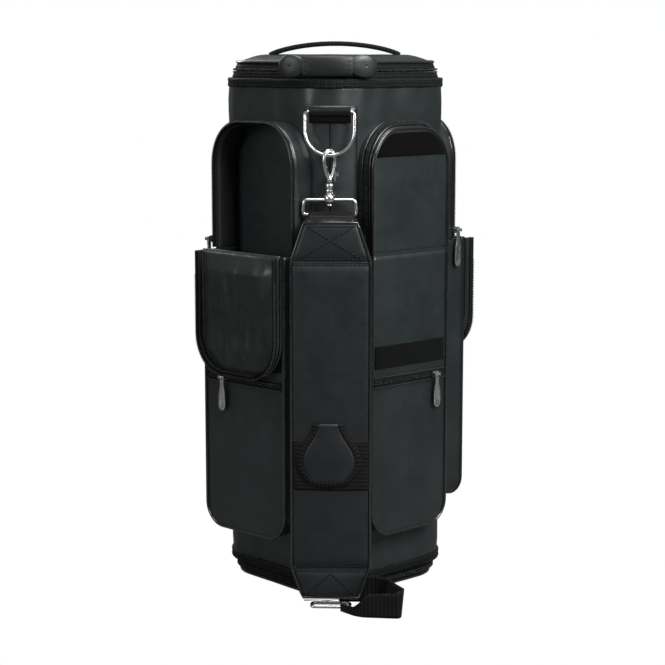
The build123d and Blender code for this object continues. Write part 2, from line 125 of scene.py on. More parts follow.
def addTube(shape, path, radius, sides=8, closed=False):
    # a round tube along points, with a cap at each end unless it is closed
    rows = []
    count = len(path)
    side = None
    for i, point in enumerate(path):
        before = path[i - 1] if i or closed else path[0]
        after = path[(i + 1) % count] if i < count - 1 or closed else path[-1]
        ahead = (after - before).normalized()
        if side is None:
            side = ahead.cross(up if abs(ahead.z) < 0.9 else Vector((1, 0, 0))).normalized()
        else:
            side = (side - ahead * side.dot(ahead)).normalized()
        other = ahead.cross(side)
        rows.append([point + side * c * radius + other * s * radius for c, s in fullTurn(sides)])
    if closed:
        rows.append(rows[0])
    addGrid(shape, rows, wrap=True)
    if not closed:
        addCap(shape, rows[0], True)
        addCap(shape, rows[-1])


def addBlock(shape, centre, x, y, z, size, taper=1.0):
    # a small block with its top drawn in by taper
    base = len(shape["verts"])
    for level, scale in ((-0.5, 1.0), (0.5, taper)):
        for a, b in ((-0.5, -0.5), (0.5, -0.5), (0.5, 0.5), (-0.5, 0.5)):
            shape["verts"].append(centre + x * a * size[0] * scale + y * b * size[1] * scale
                                  + z * level * size[2])
    for face in ((3, 2, 1, 0), (4, 5, 6, 7), (0, 1, 5, 4), (1, 2, 6, 5), (2, 3, 7, 6), (3, 0, 4, 7)):
        shape["faces"].append(tuple(base + k for k in face))
        shape["uvs"].append(((0, 0), (1, 0), (1, 1), (0, 1)))


def makePiece(shape, name, material, body, replaced=(), solid=0.0, smooth=True, subdivide=0,
              blendAcross=None):
    # solid is the cloth's thickness, laid behind the faces when positive and in front when negative
    mesh = bpy.data.meshes.new(name)
    mesh.from_pydata([tuple(v * mm) for v in shape["verts"]], [], shape["faces"])
    layer = mesh.uv_layers.new(name="cloth")
    index = 0
    for corners in shape["uvs"]:
        for corner in corners:
            layer.data[index].uv = (corner[0] * mm, corner[1] * mm)
            index += 1
    mesh.materials.append(material)
    for polygon in mesh.polygons:
        polygon.use_smooth = smooth
    piece = bpy.data.objects.new(name, mesh)
    bpy.context.scene.collection.objects.link(piece)
    if solid:
        wall = piece.modifiers.new("thickness", "SOLIDIFY")
        wall.thickness, wall.offset = abs(solid) * mm, -1 if solid > 0 else 1
    if subdivide:
        piece.modifiers.new("round", "SUBSURF").levels = subdivide
        piece.modifiers["round"].render_levels = subdivide
    if blendAcross:
        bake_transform(piece)
    else:
        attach(piece, body)
    if replaced:
        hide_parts(*replaced)
    return piece


# ---------- materials

def newMaterial(name):
    material = bpy.data.materials.new(name)
    material.use_nodes = True
    tree = material.node_tree
    shader = tree.nodes["Principled BSDF"]
    coords = tree.nodes.new("ShaderNodeTexCoord")
    return material, tree, shader, coords


def noiseNode(tree, source, scale, detail=3.0, roughness=0.55):
    node = tree.nodes.new("ShaderNodeTexNoise")
    node.inputs["Scale"].default_value = scale
    node.inputs["Detail"].default_value = detail
    node.inputs["Roughness"].default_value = roughness
    tree.links.new(source, node.inputs["Vector"])
    return node.outputs["Fac"]


def rampNode(tree, source, stops):
    node = tree.nodes.new("ShaderNodeValToRGB")
    ramp = node.color_ramp
    while len(ramp.elements) < len(stops):
        ramp.elements.new(0.5)
    for element, (at, colour) in zip(ramp.elements, stops):
        element.position = at
        element.color = (*colour, 1)
    tree.links.new(source, node.inputs["Fac"])
    return node.outputs["Color"]


def rangeNode(tree, source, low, high):
    # spreads the middle of a noise, where most of it lies, over low to high
    node = tree.nodes.new("ShaderNodeMapRange")
    node.inputs["From Min"].default_value = 0.3
    node.inputs["From Max"].default_value = 0.7
    node.inputs["To Min"].default_value = low
    node.inputs["To Max"].default_value = high
    tree.links.new(source, node.inputs["Value"])
    return node.outputs["Result"]


def bumpNode(tree, height, strength, distance, under=None):
    node = tree.nodes.new("ShaderNodeBump")
    node.inputs["Strength"].default_value = strength
    node.inputs["Distance"].default_value = distance * mm
    tree.links.new(height, node.inputs["Height"])
    if under is not None:
        tree.links.new(under, node.inputs["Normal"])
    return node.outputs["Normal"]


def waveNode(tree, source, perMetre, direction):
    node = tree.nodes.new("ShaderNodeTexWave")
    node.wave_type, node.bands_direction, node.wave_profile = "BANDS", direction, "SIN"
    node.inputs["Scale"].default_value = perMetre / 6.283 * 0.5
    node.inputs["Distortion"].default_value = 0.6
    node.inputs["Detail"].default_value = 1.0
    tree.links.new(source, node.inputs["Vector"])
    return node.outputs["Fac"]


def clothMaterial(name, dark, light, rough, grain=0.25, crease=0.5, sheen=0.0, coat=0.0):
    # woven nylon with a smooth coating: slow clouds in colour and gloss, fine grain, soft creases
    material, tree, shader, coords = newMaterial(name)
    place = coords.outputs["Object"]
    cloud = noiseNode(tree, place, 14, 4)
    tree.links.new(rampNode(tree, cloud, [(0.3, dark), (0.72, light)]), shader.inputs["Base Color"])
    worn = noiseNode(tree, place, 60, 5, 0.62)
    tree.links.new(rangeNode(tree, worn, rough - 0.06, rough + 0.08), shader.inputs["Roughness"])
    soft = bumpNode(tree, noiseNode(tree, place, 22, 2.5), crease, 2.2)
    warp = waveNode(tree, coords.outputs["UV"], 1500, "X")
    weft = waveNode(tree, coords.outputs["UV"], 1500, "Y")
    weave = tree.nodes.new("ShaderNodeMath")
    weave.operation = "MULTIPLY"
    tree.links.new(warp, weave.inputs[0])
    tree.links.new(weft, weave.inputs[1])
    soft = bumpNode(tree, weave.outputs["Value"], grain, 0.12, soft)
    pebble = noiseNode(tree, place, 950, 2)
    tree.links.new(bumpNode(tree, pebble, grain, 0.10, soft), shader.inputs["Normal"])
    shader.inputs["Sheen Weight"].default_value = sheen
    shader.inputs["Sheen Roughness"].default_value = 0.4
    shader.inputs["Coat Weight"].default_value = coat
    shader.inputs["Coat Roughness"].default_value = 0.32
    shader.inputs["Specular IOR Level"].default_value = 0.5
    return material


def ribbedMaterial(name, dark, light, perMetre, rough, depth=0.5, cross=0.4):
    # webbing, binding and zip tape: ribs along one way, finer threads the other
    material, tree, shader, coords = newMaterial(name)
    cloth = coords.outputs["UV"]
    ribs = waveNode(tree, cloth, perMetre, "Y")
    threads = waveNode(tree, cloth, perMetre * 2.4, "X")
    patch = noiseNode(tree, coords.outputs["Object"], 120, 4)
    blend = tree.nodes.new("ShaderNodeMath")
    blend.operation = "MULTIPLY"
    tree.links.new(ribs, blend.inputs[0])
    tree.links.new(patch, blend.inputs[1])
    tree.links.new(rampNode(tree, blend.outputs["Value"], [(0.1, dark), (0.75, light)]),
                   shader.inputs["Base Color"])
    tree.links.new(rangeNode(tree, patch, rough - 0.08, rough + 0.08), shader.inputs["Roughness"])
    normal = bumpNode(tree, ribs, depth, 0.5)
    normal = bumpNode(tree, threads, cross, 0.2, normal)
    fuzz = noiseNode(tree, coords.outputs["Object"], 1600, 2)
    tree.links.new(bumpNode(tree, fuzz, 0.3, 0.12, normal), shader.inputs["Normal"])
    shader.inputs["Sheen Weight"].default_value = 0.03
    shader.inputs["Specular IOR Level"].default_value = 0.16
    return material


def fuzzyMaterial(name, dark, light, scale, sheen):
    material, tree, shader, coords = newMaterial(name)
    place = coords.outputs["Object"]
    pile = noiseNode(tree, place, scale, 6, 0.7)
    tree.links.new(rampNode(tree, pile, [(0.35, dark), (0.7, light)]), shader.inputs["Base Color"])
    tree.links.new(rangeNode(tree, pile, 0.85, 1.0), shader.inputs["Roughness"])
    tree.links.new(bumpNode(tree, pile, 0.9, 0.7), shader.inputs["Normal"])
    shader.inputs["Sheen Weight"].default_value = sheen
    shader.inputs["Sheen Roughness"].default_value = 0.6
    shader.inputs["Specular IOR Level"].default_value = 0.03
    return material


def glossMaterial(name, dark, light, rough, coat=0.5):
    material, tree, shader, coords = newMaterial(name)
    place = coords.outputs["Object"]
    scuff = noiseNode(tree, place, 240, 5, 0.65)
    tree.links.new(rampNode(tree, scuff, [(0.35, dark), (0.75, light)]), shader.inputs["Base Color"])
    tree.links.new(rangeNode(tree, scuff, rough - 0.05, rough + 0.1), shader.inputs["Roughness"])
    tree.links.new(bumpNode(tree, noiseNode(tree, place, 420, 3), 0.2, 0.15), shader.inputs["Normal"])
    shader.inputs["Coat Weight"].default_value = coat
    shader.inputs["Coat Roughness"].default_value = 0.12
    return material


def metalMaterial(name, dark, light, rough):
    material, tree, shader, coords = newMaterial(name)
    place = coords.outputs["Object"]
    rub = noiseNode(tree, place, 380, 6, 0.7)
    tree.links.new(rampNode(tree, rub, [(0.3, dark), (0.62, light)]), shader.inputs["Base Color"])
    tree.links.new(rangeNode(tree, rub, rough, rough + 0.14), shader.inputs["Roughness"])
    tree.links.new(bumpNode(tree, noiseNode(tree, place, 900, 3), 0.12, 0.05), shader.inputs["Normal"])
    shader.inputs["Metallic"].default_value = 1.0
    return material


coatedFabric = clothMaterial("coatedFabric", (0.011, 0.0148, 0.0150), (0.020, 0.0262, 0.0265), 0.37,
                             crease=0.55, coat=0.15)
padFabric = clothMaterial("padFabric", (0.0052, 0.0073, 0.0084), (0.0088, 0.0118, 0.0136), 0.46,
                          crease=0.4, coat=0.04)
liningFabric = clothMaterial("liningFabric", (0.009, 0.0115, 0.0115), (0.020, 0.024, 0.024), 0.29,
                             grain=0.12, crease=0.9, sheen=0.1)
# darker than the outer cloth: painted shade for the shadowed inner walls of the pockets
paintedShadeInsideFabric = clothMaterial("paintedShadeInsideFabric", (0.006, 0.007, 0.007), (0.011, 0.013, 0.013), 0.6)
webbingMaterial = ribbedMaterial("webbing", (0.003, 0.003, 0.0035), (0.012, 0.012, 0.0135), 900, 0.72)
bindingMaterial = ribbedMaterial("binding", (0.003, 0.0035, 0.0038), (0.013, 0.0145, 0.015), 1300, 0.62)
zipTapeMaterial = ribbedMaterial("zipTape", (0.003, 0.0032, 0.0034), (0.011, 0.012, 0.0125), 1800, 0.66,
                                 0.35)
# the coil teeth are coloured lighter than their black plastic: painted glints along the rows
paintedGlintToothMaterial = glossMaterial("coilToothGlint", (0.018, 0.020, 0.020), (0.07, 0.075, 0.075), 0.24, 0.4)
pipingMaterial = glossMaterial("piping", (0.007, 0.008, 0.008), (0.018, 0.020, 0.021), 0.17, 1.0)
threadMaterial = glossMaterial("thread", (0.006, 0.007, 0.008), (0.02, 0.022, 0.024), 0.5, 0.1)
hookTapeMaterial = fuzzyMaterial("hookTape", (0.001, 0.001, 0.0011), (0.005, 0.005, 0.0055), 1500, 0.02)
loopTapeMaterial = fuzzyMaterial("loopTape", (0.0015, 0.0018, 0.0018), (0.006, 0.0065, 0.0065), 700, 0.04)
boardMaterial = fuzzyMaterial("liningBoard", (0.006, 0.0065, 0.0065), (0.015, 0.016, 0.016), 420, 0.1)
chromeMaterial = metalMaterial("chrome", (0.70, 0.70, 0.71), (0.95, 0.95, 0.96), 0.16)
print("materials made")

# ---------- bag outline

bag = {
    "half": 101.0,              # half the width between opposite faces
    "corner": 54.0,
    "wallRipple": 0.9,          # how far the soft wall wanders in and out
    "wallThick": 1.2,
    "gathers": 23,              # dents round the wall beside each binding
    "columns": 220,
    "hingeCloth": 92.0,         # the end zips stop at the cloth hinge behind this
}
binding = {"height": 10, "columns": 360, "crimps": 90, "thick": 0.5, "stitchInset": 1.9}
endLid = {"edge": 10.4, "rings": 16, "thick": 1.0, "cordAt": -9.8, "cordRadius": 1.9}
endTeeth = {"outset": -5.2, "pitch": 2.1, "size": (2.3, 1.2, 1.8), "lean": 0.35}
shellLow, shellHigh = boxOf("body_shell")
lidTop = boxOf("top_lid")[1].z
flat = bag["half"] - bag["corner"]
arcLength = math.pi / 2 * bag["corner"]
sideLength = 2 * flat + arcLength
perimeter = 4 * sideLength


def yawVectors(yaw):
    return (Vector((math.sin(yaw), -math.cos(yaw), 0)), Vector((math.cos(yaw), math.sin(yaw), 0)))


def outlineAt(distance):
    # a point on the outline and its outward normal; distance 0 is the middle of the front corner
    distance = (distance + arcLength / 2) % perimeter
    side = int(distance // sideLength)
    along = distance - side * sideLength
    cornerYaw = side * math.pi / 2
    if along < arcLength:
        yaw = cornerYaw - math.pi / 4 + along / bag["corner"]
        centre = yawVectors(cornerYaw)[0] * flat * math.sqrt(2)
        normal = yawVectors(yaw)[0]
        return centre + normal * bag["corner"], normal
    normal, sideways = yawVectors(cornerYaw + math.pi / 4)
    return normal * bag["half"] + sideways * (along - arcLength - flat), normal


def outlineDepth(point):
    # how far a point lies outside the outline (negative inside)
    a = abs(point.x * math.sqrt(0.5) - point.y * math.sqrt(0.5)) - flat
    b = abs(point.x * math.sqrt(0.5) + point.y * math.sqrt(0.5)) - flat
    outer = math.hypot(max(a, 0), max(b, 0)) + min(max(a, b), 0)
    return outer - bag["corner"]


def ringRows(profile, ripple=0.0, seed=1.0):
    # profile: (outset, z) pairs swept round the outline
    rows = []
    for outset, z in profile:
        row = []
        for j in range(bag["columns"]):
            point, normal = outlineAt(perimeter * j / bag["columns"])
            shift = wobble((point.x, point.y, z), 34, seed) * ripple
            row.append(point + normal * (outset + shift) + up * z)
        rows.append(row)
    return rows


def roundProfile(outset, z, radius, sides=8):
    angles = evenly(0, 2 * math.pi, sides)
    return [(outset + math.cos(angle) * radius, z + math.sin(angle) * radius) for angle in angles]


def ringTeeth(shape, z, lean):
    count = int(perimeter / endTeeth["pitch"])
    for k in range(count):
        point, normal = outlineAt(perimeter * k / count)
        if point.y > bag["hingeCloth"]:
            continue
        sideways = up.cross(normal)
        tilt = (up + sideways * lean).normalized()
        addBlock(shape, point + normal * endTeeth["outset"] + up * z, tilt, normal.cross(tilt).normalized(),
                 normal, endTeeth["size"], 0.6)


def ringStitches(shape, outset, z, length, gap, thick):
    count = int(perimeter / (length + gap))
    for k in range(count):
        point, normal = outlineAt(perimeter * k / count)
        addBlock(shape, point + normal * outset + up * z, up.cross(normal), up, normal,
                 (length, thick, thick), 0.7)


def makeBody():
    low, high = shellLow.z, shellHigh.z
    shape = newShape()
    profile = []
    for z in evenly(low, high, 46):
        edge = min(1, min(z - low, high - z) / 30)
        profile.append((-0.2 + 0.5 * edge, z))
    rows = ringRows(profile, bag["wallRipple"])
    # the wall gathers into small dents just under the upper binding and over the lower one
    for (_, z), row in zip(profile, rows):
        near = math.exp(-((high - 26 - z) / 16) ** 2) + math.exp(-((z - low - 26) / 16) ** 2)
        for j, point in enumerate(row):
            normal = outlineAt(perimeter * j / bag["columns"])[1]
            turn = j * 2 * math.pi * bag["gathers"] / bag["columns"] + 2 * wobble(point, 60, 4)
            pull = near * (0.4 + 0.7 * math.sin(turn))
            row[j] = point + normal * pull
    addGrid(shape, rows, wrap=True)
    makePiece(shape, "bodyWall", coatedFabric, "bag", ["body_shell"],
              solid=bag["wallThick"])
    shape = newShape()
    for z, turn in ((high, 1), (low, -1)):
        addGrid(shape, ringRows([(-1.6, z - 0.6 * turn), (-4.5, z - 0.2 * turn), (-7.6, z),
                                 (-11, z - 0.6 * turn), (-11, z - 3 * turn)], 0.2), wrap=True)
    makePiece(shape, "bodyHems", coatedFabric, "bag", ["end_hems"], solid=0.8)


def makeBindings():
    shape = newShape()
    seams = newShape()
    height, columns = binding["height"], binding["columns"]
    for low in (shellLow.z, shellHigh.z - height):
        rows = []
        profile = [(-0.6, low - 0.2), (0.8, low), (1.5, low + 1.6), (1.2, low + 5), (1.5, low + 8.4),
                   (0.8, low + height), (-0.6, low + 10.3), (-1.4, low + height)]
        for outset, z in profile:
            row = []
            for j in range(columns):
                point, normal = outlineAt(perimeter * j / columns)
                crimp = 0.32 * math.sin(j * 2 * math.pi * binding["crimps"] / columns)
                crimp += 0.5 * wobble((point.x, point.y, low), 26, 3)
                sway = 0.5 * wobble((point.x, point.y, z), 20, 8)
                row.append(point + normal * (outset + crimp) + up * (z + sway))
            rows.append(row)
        addGrid(shape, rows, wrap=True)
        for inset in (binding["stitchInset"], height - binding["stitchInset"]):
            ringStitches(seams, 1.75, low + inset, 2.6, 1.5, 0.55)
    makePiece(shape, "bindingBands", bindingMaterial, "bag", ["bindings"], solid=binding["thick"])
    makePiece(seams, "bindingStitches", threadMaterial, "bag")


def makeEndZip(name, body, outer, inner, turn):
    # the half on the bag belongs with the fixed tapes, the half on the lid turns with it
    lidTape = newShape()
    addGrid(lidTape, ringRows([(-8.4, outer), (-6.2, outer), (-7.6, (outer + inner) / 2), (-9.8, inner)],
                              0.3, 5), wrap=True)
    makePiece(lidTape, name + "LidTape", zipTapeMaterial, body, [body + "_zip_tape"], solid=0.5)
    meet = outer - 0.3 * turn
    for rider, half, side in ((body, "Lid", turn), ("bag", "Bag", -turn)):
        teeth = newShape()
        ringTeeth(teeth, meet + side * 1.5, endTeeth["lean"] * side)
        makePiece(teeth, f"{name}Teeth{half}", paintedGlintToothMaterial, rider, smooth=False)


def makeEndCover(name, body, rim, crown, edge, turn):
    # turn is 1 for the lid that faces up and -1 for the one that faces down
    shape = newShape()
    profile = []
    rings = endLid["rings"]
    for i in range(rings + 1):
        drawIn = endLid["edge"] + (bag["corner"] - 12) * i / rings
        rise = crown * math.sin(math.pi / 2 * min(1, (i / rings) * 1.3))
        profile.append((-drawIn, rim + rise))
    rows = ringRows(profile)
    if turn > 0:
        for i, row in enumerate(rows):
            row[:] = [point + up * 0.9 * wobble(point, 48, 6) * min(1, i / 4) for point in row]
    addGrid(shape, rows, wrap=True)
    addCap(shape, rows[-1])     # one face fills the middle
    shape["uvs"][-1] = tuple((point.x, point.y) for point in rows[-1])
    addGrid(shape, ringRows([(-endLid["edge"], rim), (-10.6, rim - turn * 3), (-9.0, edge), (-12, edge),
                             (-12.6, rim - turn * 1.5)], 0.2), wrap=True)
    makePiece(shape, name + "Cover", coatedFabric, body, [body],
              solid=endLid["thick"] * turn)
    cord = newShape()
    cordProfile = roundProfile(endLid["cordAt"], rim + 0.2 * turn, endLid["cordRadius"])
    addGrid(cord, ringRows(cordProfile, 0.5, 9), wrap=True)
    makePiece(cord, name + "Piping", pipingMaterial, body, [body + "_piping"])


def makeEndLids():
    topTape, bottomTape = boxOf("top_lid_zip_tape"), boxOf("bottom_lid_zip_tape")
    makeEndZip("topZip", "top_lid", topTape[0].z, topTape[1].z, 1)
    makeEndZip("bottomZip", "bottom_lid", bottomTape[1].z, bottomTape[0].z, -1)
    makeEndCover("topLid", "top_lid", lidTop - 4.5, 8.5, topTape[0].z, 1)
    makeEndCover("bottomLid", "bottom_lid", 2.6, -1.9, bottomTape[1].z, -1)


makeBody()
makeBindings()
makeEndLids()
print("body and end lids made")

# ---------- pockets

pocketStyle = {
    "low": 74.0, "high": 524.0, "topRadius": 42.0, "bottomRadius": 26.0,
    "cloth": 0.8, "lining": 2.6,    # how far inside the pocket's edge the outer cloth and the lining run
    "puff": 1.6,                    # crown of the front panel
    "liningPuff": 6.6,
    "pipingRadius": 1.5,
    "toothPitch": 1.9,
    "zipLine": 247.0,
    "archTape": 5.7,
    "loopTape": (262.5, 287.5), "hookTape": (494.0, 519.5), "tapeLift": 0.3, "tapeThick": 0.6,
    "rise": 6.5, "riseRun": 9.0,    # crown of the arch behind the lid's front edge
    "teethClear": 26,               # the lid's teeth start this far above the hinge, past the slider
}
# width, how far out the arch zip runs, and whether the lid hangs open at rest
pocketShapes = {"front_left": (124, 135, True), "front_right": (116, 113, False),
                "back_right": (124, 135, True), "back_left": (116, 113, False)}


def pocketFrame(name):
    width, zipAt, isOpen = pocketShapes[name]
    joint = joints[name + "_lid_hinge"]
    axis = Vector(joint["axis"]) * (-1 if isOpen else 1)
    place = Vector(joint["pos_m"]) / mm
    outward = Vector((axis.y, -axis.x, 0))
    hinge = place.dot(outward)
    words = name.split("_")
    return {"name": name, "title": words[0] + words[1].capitalize(), "lid": name + "_lid",
            "n": outward, "t": axis, "hingeOut": hinge, "hinge": place.z, "front": hinge - 1.5,
            "width": width, "zip": zipAt, "open": isOpen}


def pocketPoint(p, u, v, w, onLid=False):
    # u across the pocket, v up, w out; a lid that hangs open is turned half round about its hinge
    if onLid and p["open"]:
        v = 2 * p["hinge"] - v
        w = 2 * p["hingeOut"] - w
    return p["n"] * w + p["t"] * u + up * v


def rootDepth(p, u, sink=1.0):
    # where the pocket's side meets the bag's wall
    low, high = 60.0, 120.0
    for _ in range(24):
        middle = (low + high) / 2
        if outlineDepth(p["n"] * middle + p["t"] * u) < -sink:
            low = middle
        else:
            high = middle
    return high


def archPath(p, inset, upper, low=None, step=3.0):
    # points round the pocket's edge with their outward normals, upper half or lower half
    style = pocketStyle
    half = p["width"] / 2 - inset
    radius = (style["topRadius"] if upper else style["bottomRadius"]) - inset
    end = (style["high"] - inset) if upper else (style["low"] + inset)
    sign = 1 if upper else -1
    start = p["hinge"] + sign * 0.75 if low is None else low
    corner = end - sign * radius
    path = []
    straight = max(2, int(abs(corner - start) / step))
    for k in range(straight):
        path.append((half * sign, start + (corner - start) * k / straight, sign, 0.0))
    turns = max(6, int(radius * math.pi / 2 / step))
    for k in range(turns):
        angle = math.pi / 2 * k / turns
        c, s = math.cos(angle), math.sin(angle)
        path.append((sign * (half - radius + radius * c), corner + sign * radius * s, sign * c, sign * s))
    across = max(2, int(2 * (half - radius) / step))
    for k in range(across):
        path.append((sign * (half - radius) * (1 - 2 * k / across), end, 0.0, sign))
    for k in range(turns):
        angle = math.pi / 2 * (1 + k / turns)
        c, s = math.cos(angle), math.sin(angle)
        path.append((sign * (-half + radius + radius * c), corner + sign * radius * s, sign * c, sign * s))
    for k in range(straight + 1):
        path.append((-half * sign, corner + (start - corner) * k / straight, -sign, 0.0))
    return path


def halfWidth(p, v, inset):
    style = pocketStyle
    half = p["width"] / 2 - inset
    top, topRadius = style["high"] - inset, style["topRadius"] - inset
    low, lowRadius = style["low"] + inset, style["bottomRadius"] - inset
    if v > top - topRadius:
        rise = min(1, (v - top + topRadius) / topRadius)
        return half - topRadius + topRadius * math.sqrt(max(0, 1 - rise * rise))
    if v < low + lowRadius:
        fall = min(1, (low + lowRadius - v) / lowRadius)
        return half - lowRadius + lowRadius * math.sqrt(max(0, 1 - fall * fall))
    return half


def panelLevels(low, high, rounding, atTop):
    # heights of the rows, closer together where the corner is round
    count = 14
    if atTop:
        flatEnd = high - rounding
        bend = [flatEnd + rounding * math.sin(math.pi / 2 * k / count) for k in range(count + 1)]
        return evenly(low, flatEnd, 24)[:-1] + bend
    flatEnd = low + rounding
    bend = [flatEnd - rounding * math.sin(math.pi / 2 * (count - k) / count) for k in range(count)]
    return bend + evenly(flatEnd, high, 46)


def panelDepth(p, u, v):
    # the front cloth crowns between its edges, lies flat along the zip, and creases a little
    style = pocketStyle
    sideways = max(0, 1 - (abs(u) / (p["width"] / 2)) ** 3)
    upright = min(1, (v - style["low"]) / 30) * min(1, max(0, (style["high"] - v) / 22))
    calm = 1 - 0.85 * math.exp(-((v - style["zipLine"]) / 26) ** 2)
    if p["open"]:
        calm *= 1 - math.exp(-((v - p["hinge"]) / 18) ** 2)
    crease = 0.7 * wobble((u * 1.3, v * 0.5, p["front"]), 30, 2) + 0.4 * wobble((u, v * 0.35, 7), 14, 5)
    return p["front"] - 0.9 + sideways * upright * calm * (style["puff"] + crease)


def panelRow(p, v, margin, count, depth, onLid=False):
    # one row of cloth across the pocket, margin inside its edge, at the depth worked out for each place
    return [pocketPoint(p, u, v, depth(p, u, v), onLid) for u in across(halfWidth(p, v, margin), count)]


def archRise(p, nv, w, onLid=False):
    # the gusset's crown stands higher behind the lid's front edge, less on a lid that is folded down
    back = min(1, max(0, (p["front"] - w) / pocketStyle["riseRun"]))
    share = 0.2 if onLid and p["open"] else 1
    return pocketStyle["rise"] * share * max(0, nv) ** 2 * back


def gussetRows(p, path, levels, bulge, onLid=False, seed=1.0):
    rows = []
    for k, level in enumerate(levels):
        row = []
        for u, v, nu, nv in path:
            w = level if level is not None else rootDepth(p, u)
            swell = bulge * math.sin(math.pi * k / (len(levels) - 1))
            loose = min(1, k) * (1 if k < len(levels) - 1 else 0.2)
            swell += 0.7 * wobble((u, v * 0.8, w), 20, seed) * loose
            swell += archRise(p, nv, w, onLid)
            row.append(pocketPoint(p, u + nu * swell, v + nv * swell, w, onLid))
        rows.append(row)
    return rows


def wallLevels(front, count):
    # depths from the bag's wall, worked out point by point where None stands, out to the front
    back = bag["half"]
    return [None] + [front - (front - back) * (1 - k / count) for k in range(1, count + 1)]


def makePocketShell(p):
    style = pocketStyle
    front, outer, inset = p["front"], style["cloth"], style["lining"]
    arch = p["zip"] - 0.3 - style["archTape"]
    archLow = p["hinge"] - 2
    depths = wallLevels(front, 7)
    depths[-1] = front - 0.4
    shape = newShape()
    addGrid(shape, gussetRows(p, archPath(p, outer, False), depths, -0.8, seed=3))
    addGrid(shape, gussetRows(p, archPath(p, outer, True, archLow), wallLevels(arch, 5), -0.6, seed=6))
    makePiece(shape, p["title"] + "Gusset", coatedFabric, "bag", [p["name"] + "_pocket"],
              solid=-1.2)
    panel = newShape()
    heights = panelLevels(style["low"] + outer, p["hinge"] - outer, style["bottomRadius"], False)
    addGrid(panel, [panelRow(p, v, outer, 14, panelDepth) for v in heights])
    makePiece(panel, p["title"] + "Panel", coatedFabric, "bag", solid=1.0)
    inner = newShape()
    sleeve = [None] + [arch - 0.6 - (arch - bag["half"]) * (1 - k / 5) for k in range(1, 6)]
    addGrid(inner, gussetRows(p, archPath(p, inset, True, archLow), sleeve, -0.6, seed=9))
    sleeve = [None] + [front - inset - (front - bag["half"]) * (1 - k / 7) for k in range(1, 8)]
    addGrid(inner, gussetRows(p, archPath(p, inset, False), sleeve, -0.8, seed=5))
    # the inner walls take the darker cloth, a painted shade
    makePiece(inner, p["title"] + "SideLining", paintedShadeInsideFabric, "bag", solid=0.5)
    # cloth on the back wall, seen through the open arch
    back = newShape()
    heights = panelLevels(style["low"] + 4, style["high"] - 3, style["topRadius"], True)
    addGrid(back, [panelRow(p, v, 4, 12, backDepth) for v in heights])
    makePiece(back, p["title"] + "BackLining", coatedFabric, "bag", solid=0.6)


def backDepth(p, u, v):
    return rootDepth(p, u, -1.0) + 0.8 * wobble((u, v, 1), 30, 3)


def makePocketLid(p):
    style = pocketStyle
    front, outer = p["front"], style["cloth"]
    shape = newShape()
    start = p["zip"] + 0.3 + style["archTape"]
    levels = evenly(start, front - 0.4, 3)
    addGrid(shape, gussetRows(p, archPath(p, outer, True), levels, -0.3, True, 8))
    heights = panelLevels(p["hinge"] + outer, style["high"] - outer, style["topRadius"], True)
    addGrid(shape, [panelRow(p, v, outer, 14, panelDepth, True) for v in heights])
    makePiece(shape, p["title"] + "LidCover", coatedFabric, p["lid"], [p["lid"]], solid=0.8)
    # the lid's inside: lining with upright creases, tucked under the zip tape
    lining = newShape()
    rows = []
    columns = 18
    for v in heights:
        row = []
        upright = min(1, (v - p["hinge"]) / 20)
        fall = min(1, (style["high"] - v) / 26)
        half = halfWidth(p, v, 3.2)
        for a in range(-columns, columns + 1):
            u = half * a / columns
            edge = max(0, 1 - (abs(a) / columns) ** 4) * upright * fall
            crease = 2.2 * wobble((u * 1.5, v * 0.3, 2), 17, 9) + 1.4 * wobble((u, v, 5), 28, 2)
            row.append(pocketPoint(p, u, v, front - 2.8 - edge * (style["liningPuff"] + crease), True))
        rows.append(row)
    addGrid(lining, rows)
    makePiece(lining, p["title"] + "LidLining", liningFabric, p["lid"], solid=0.5)
    inner = newShape()
    levels = [p["zip"] + 2, (p["zip"] + front) / 2, front - style["lining"]]
    addGrid(inner, gussetRows(p, archPath(p, 3.0, True), levels, 0.2, True, 4))
    makePiece(inner, p["title"] + "LidBinding", bindingMaterial, p["lid"], solid=0.5)
    cord = newShape()
    addPocketCord(cord, p, True)
    makePiece(cord, p["title"] + "LidPiping", pipingMaterial, p["lid"])


def addPocketCord(shape, p, onLid):
    path = archPath(p, 0.2, onLid)
    addTube(shape, [pocketPoint(p, u, v, p["front"] - 0.4, onLid) for u, v, _, _ in path],
            pocketStyle["pipingRadius"])


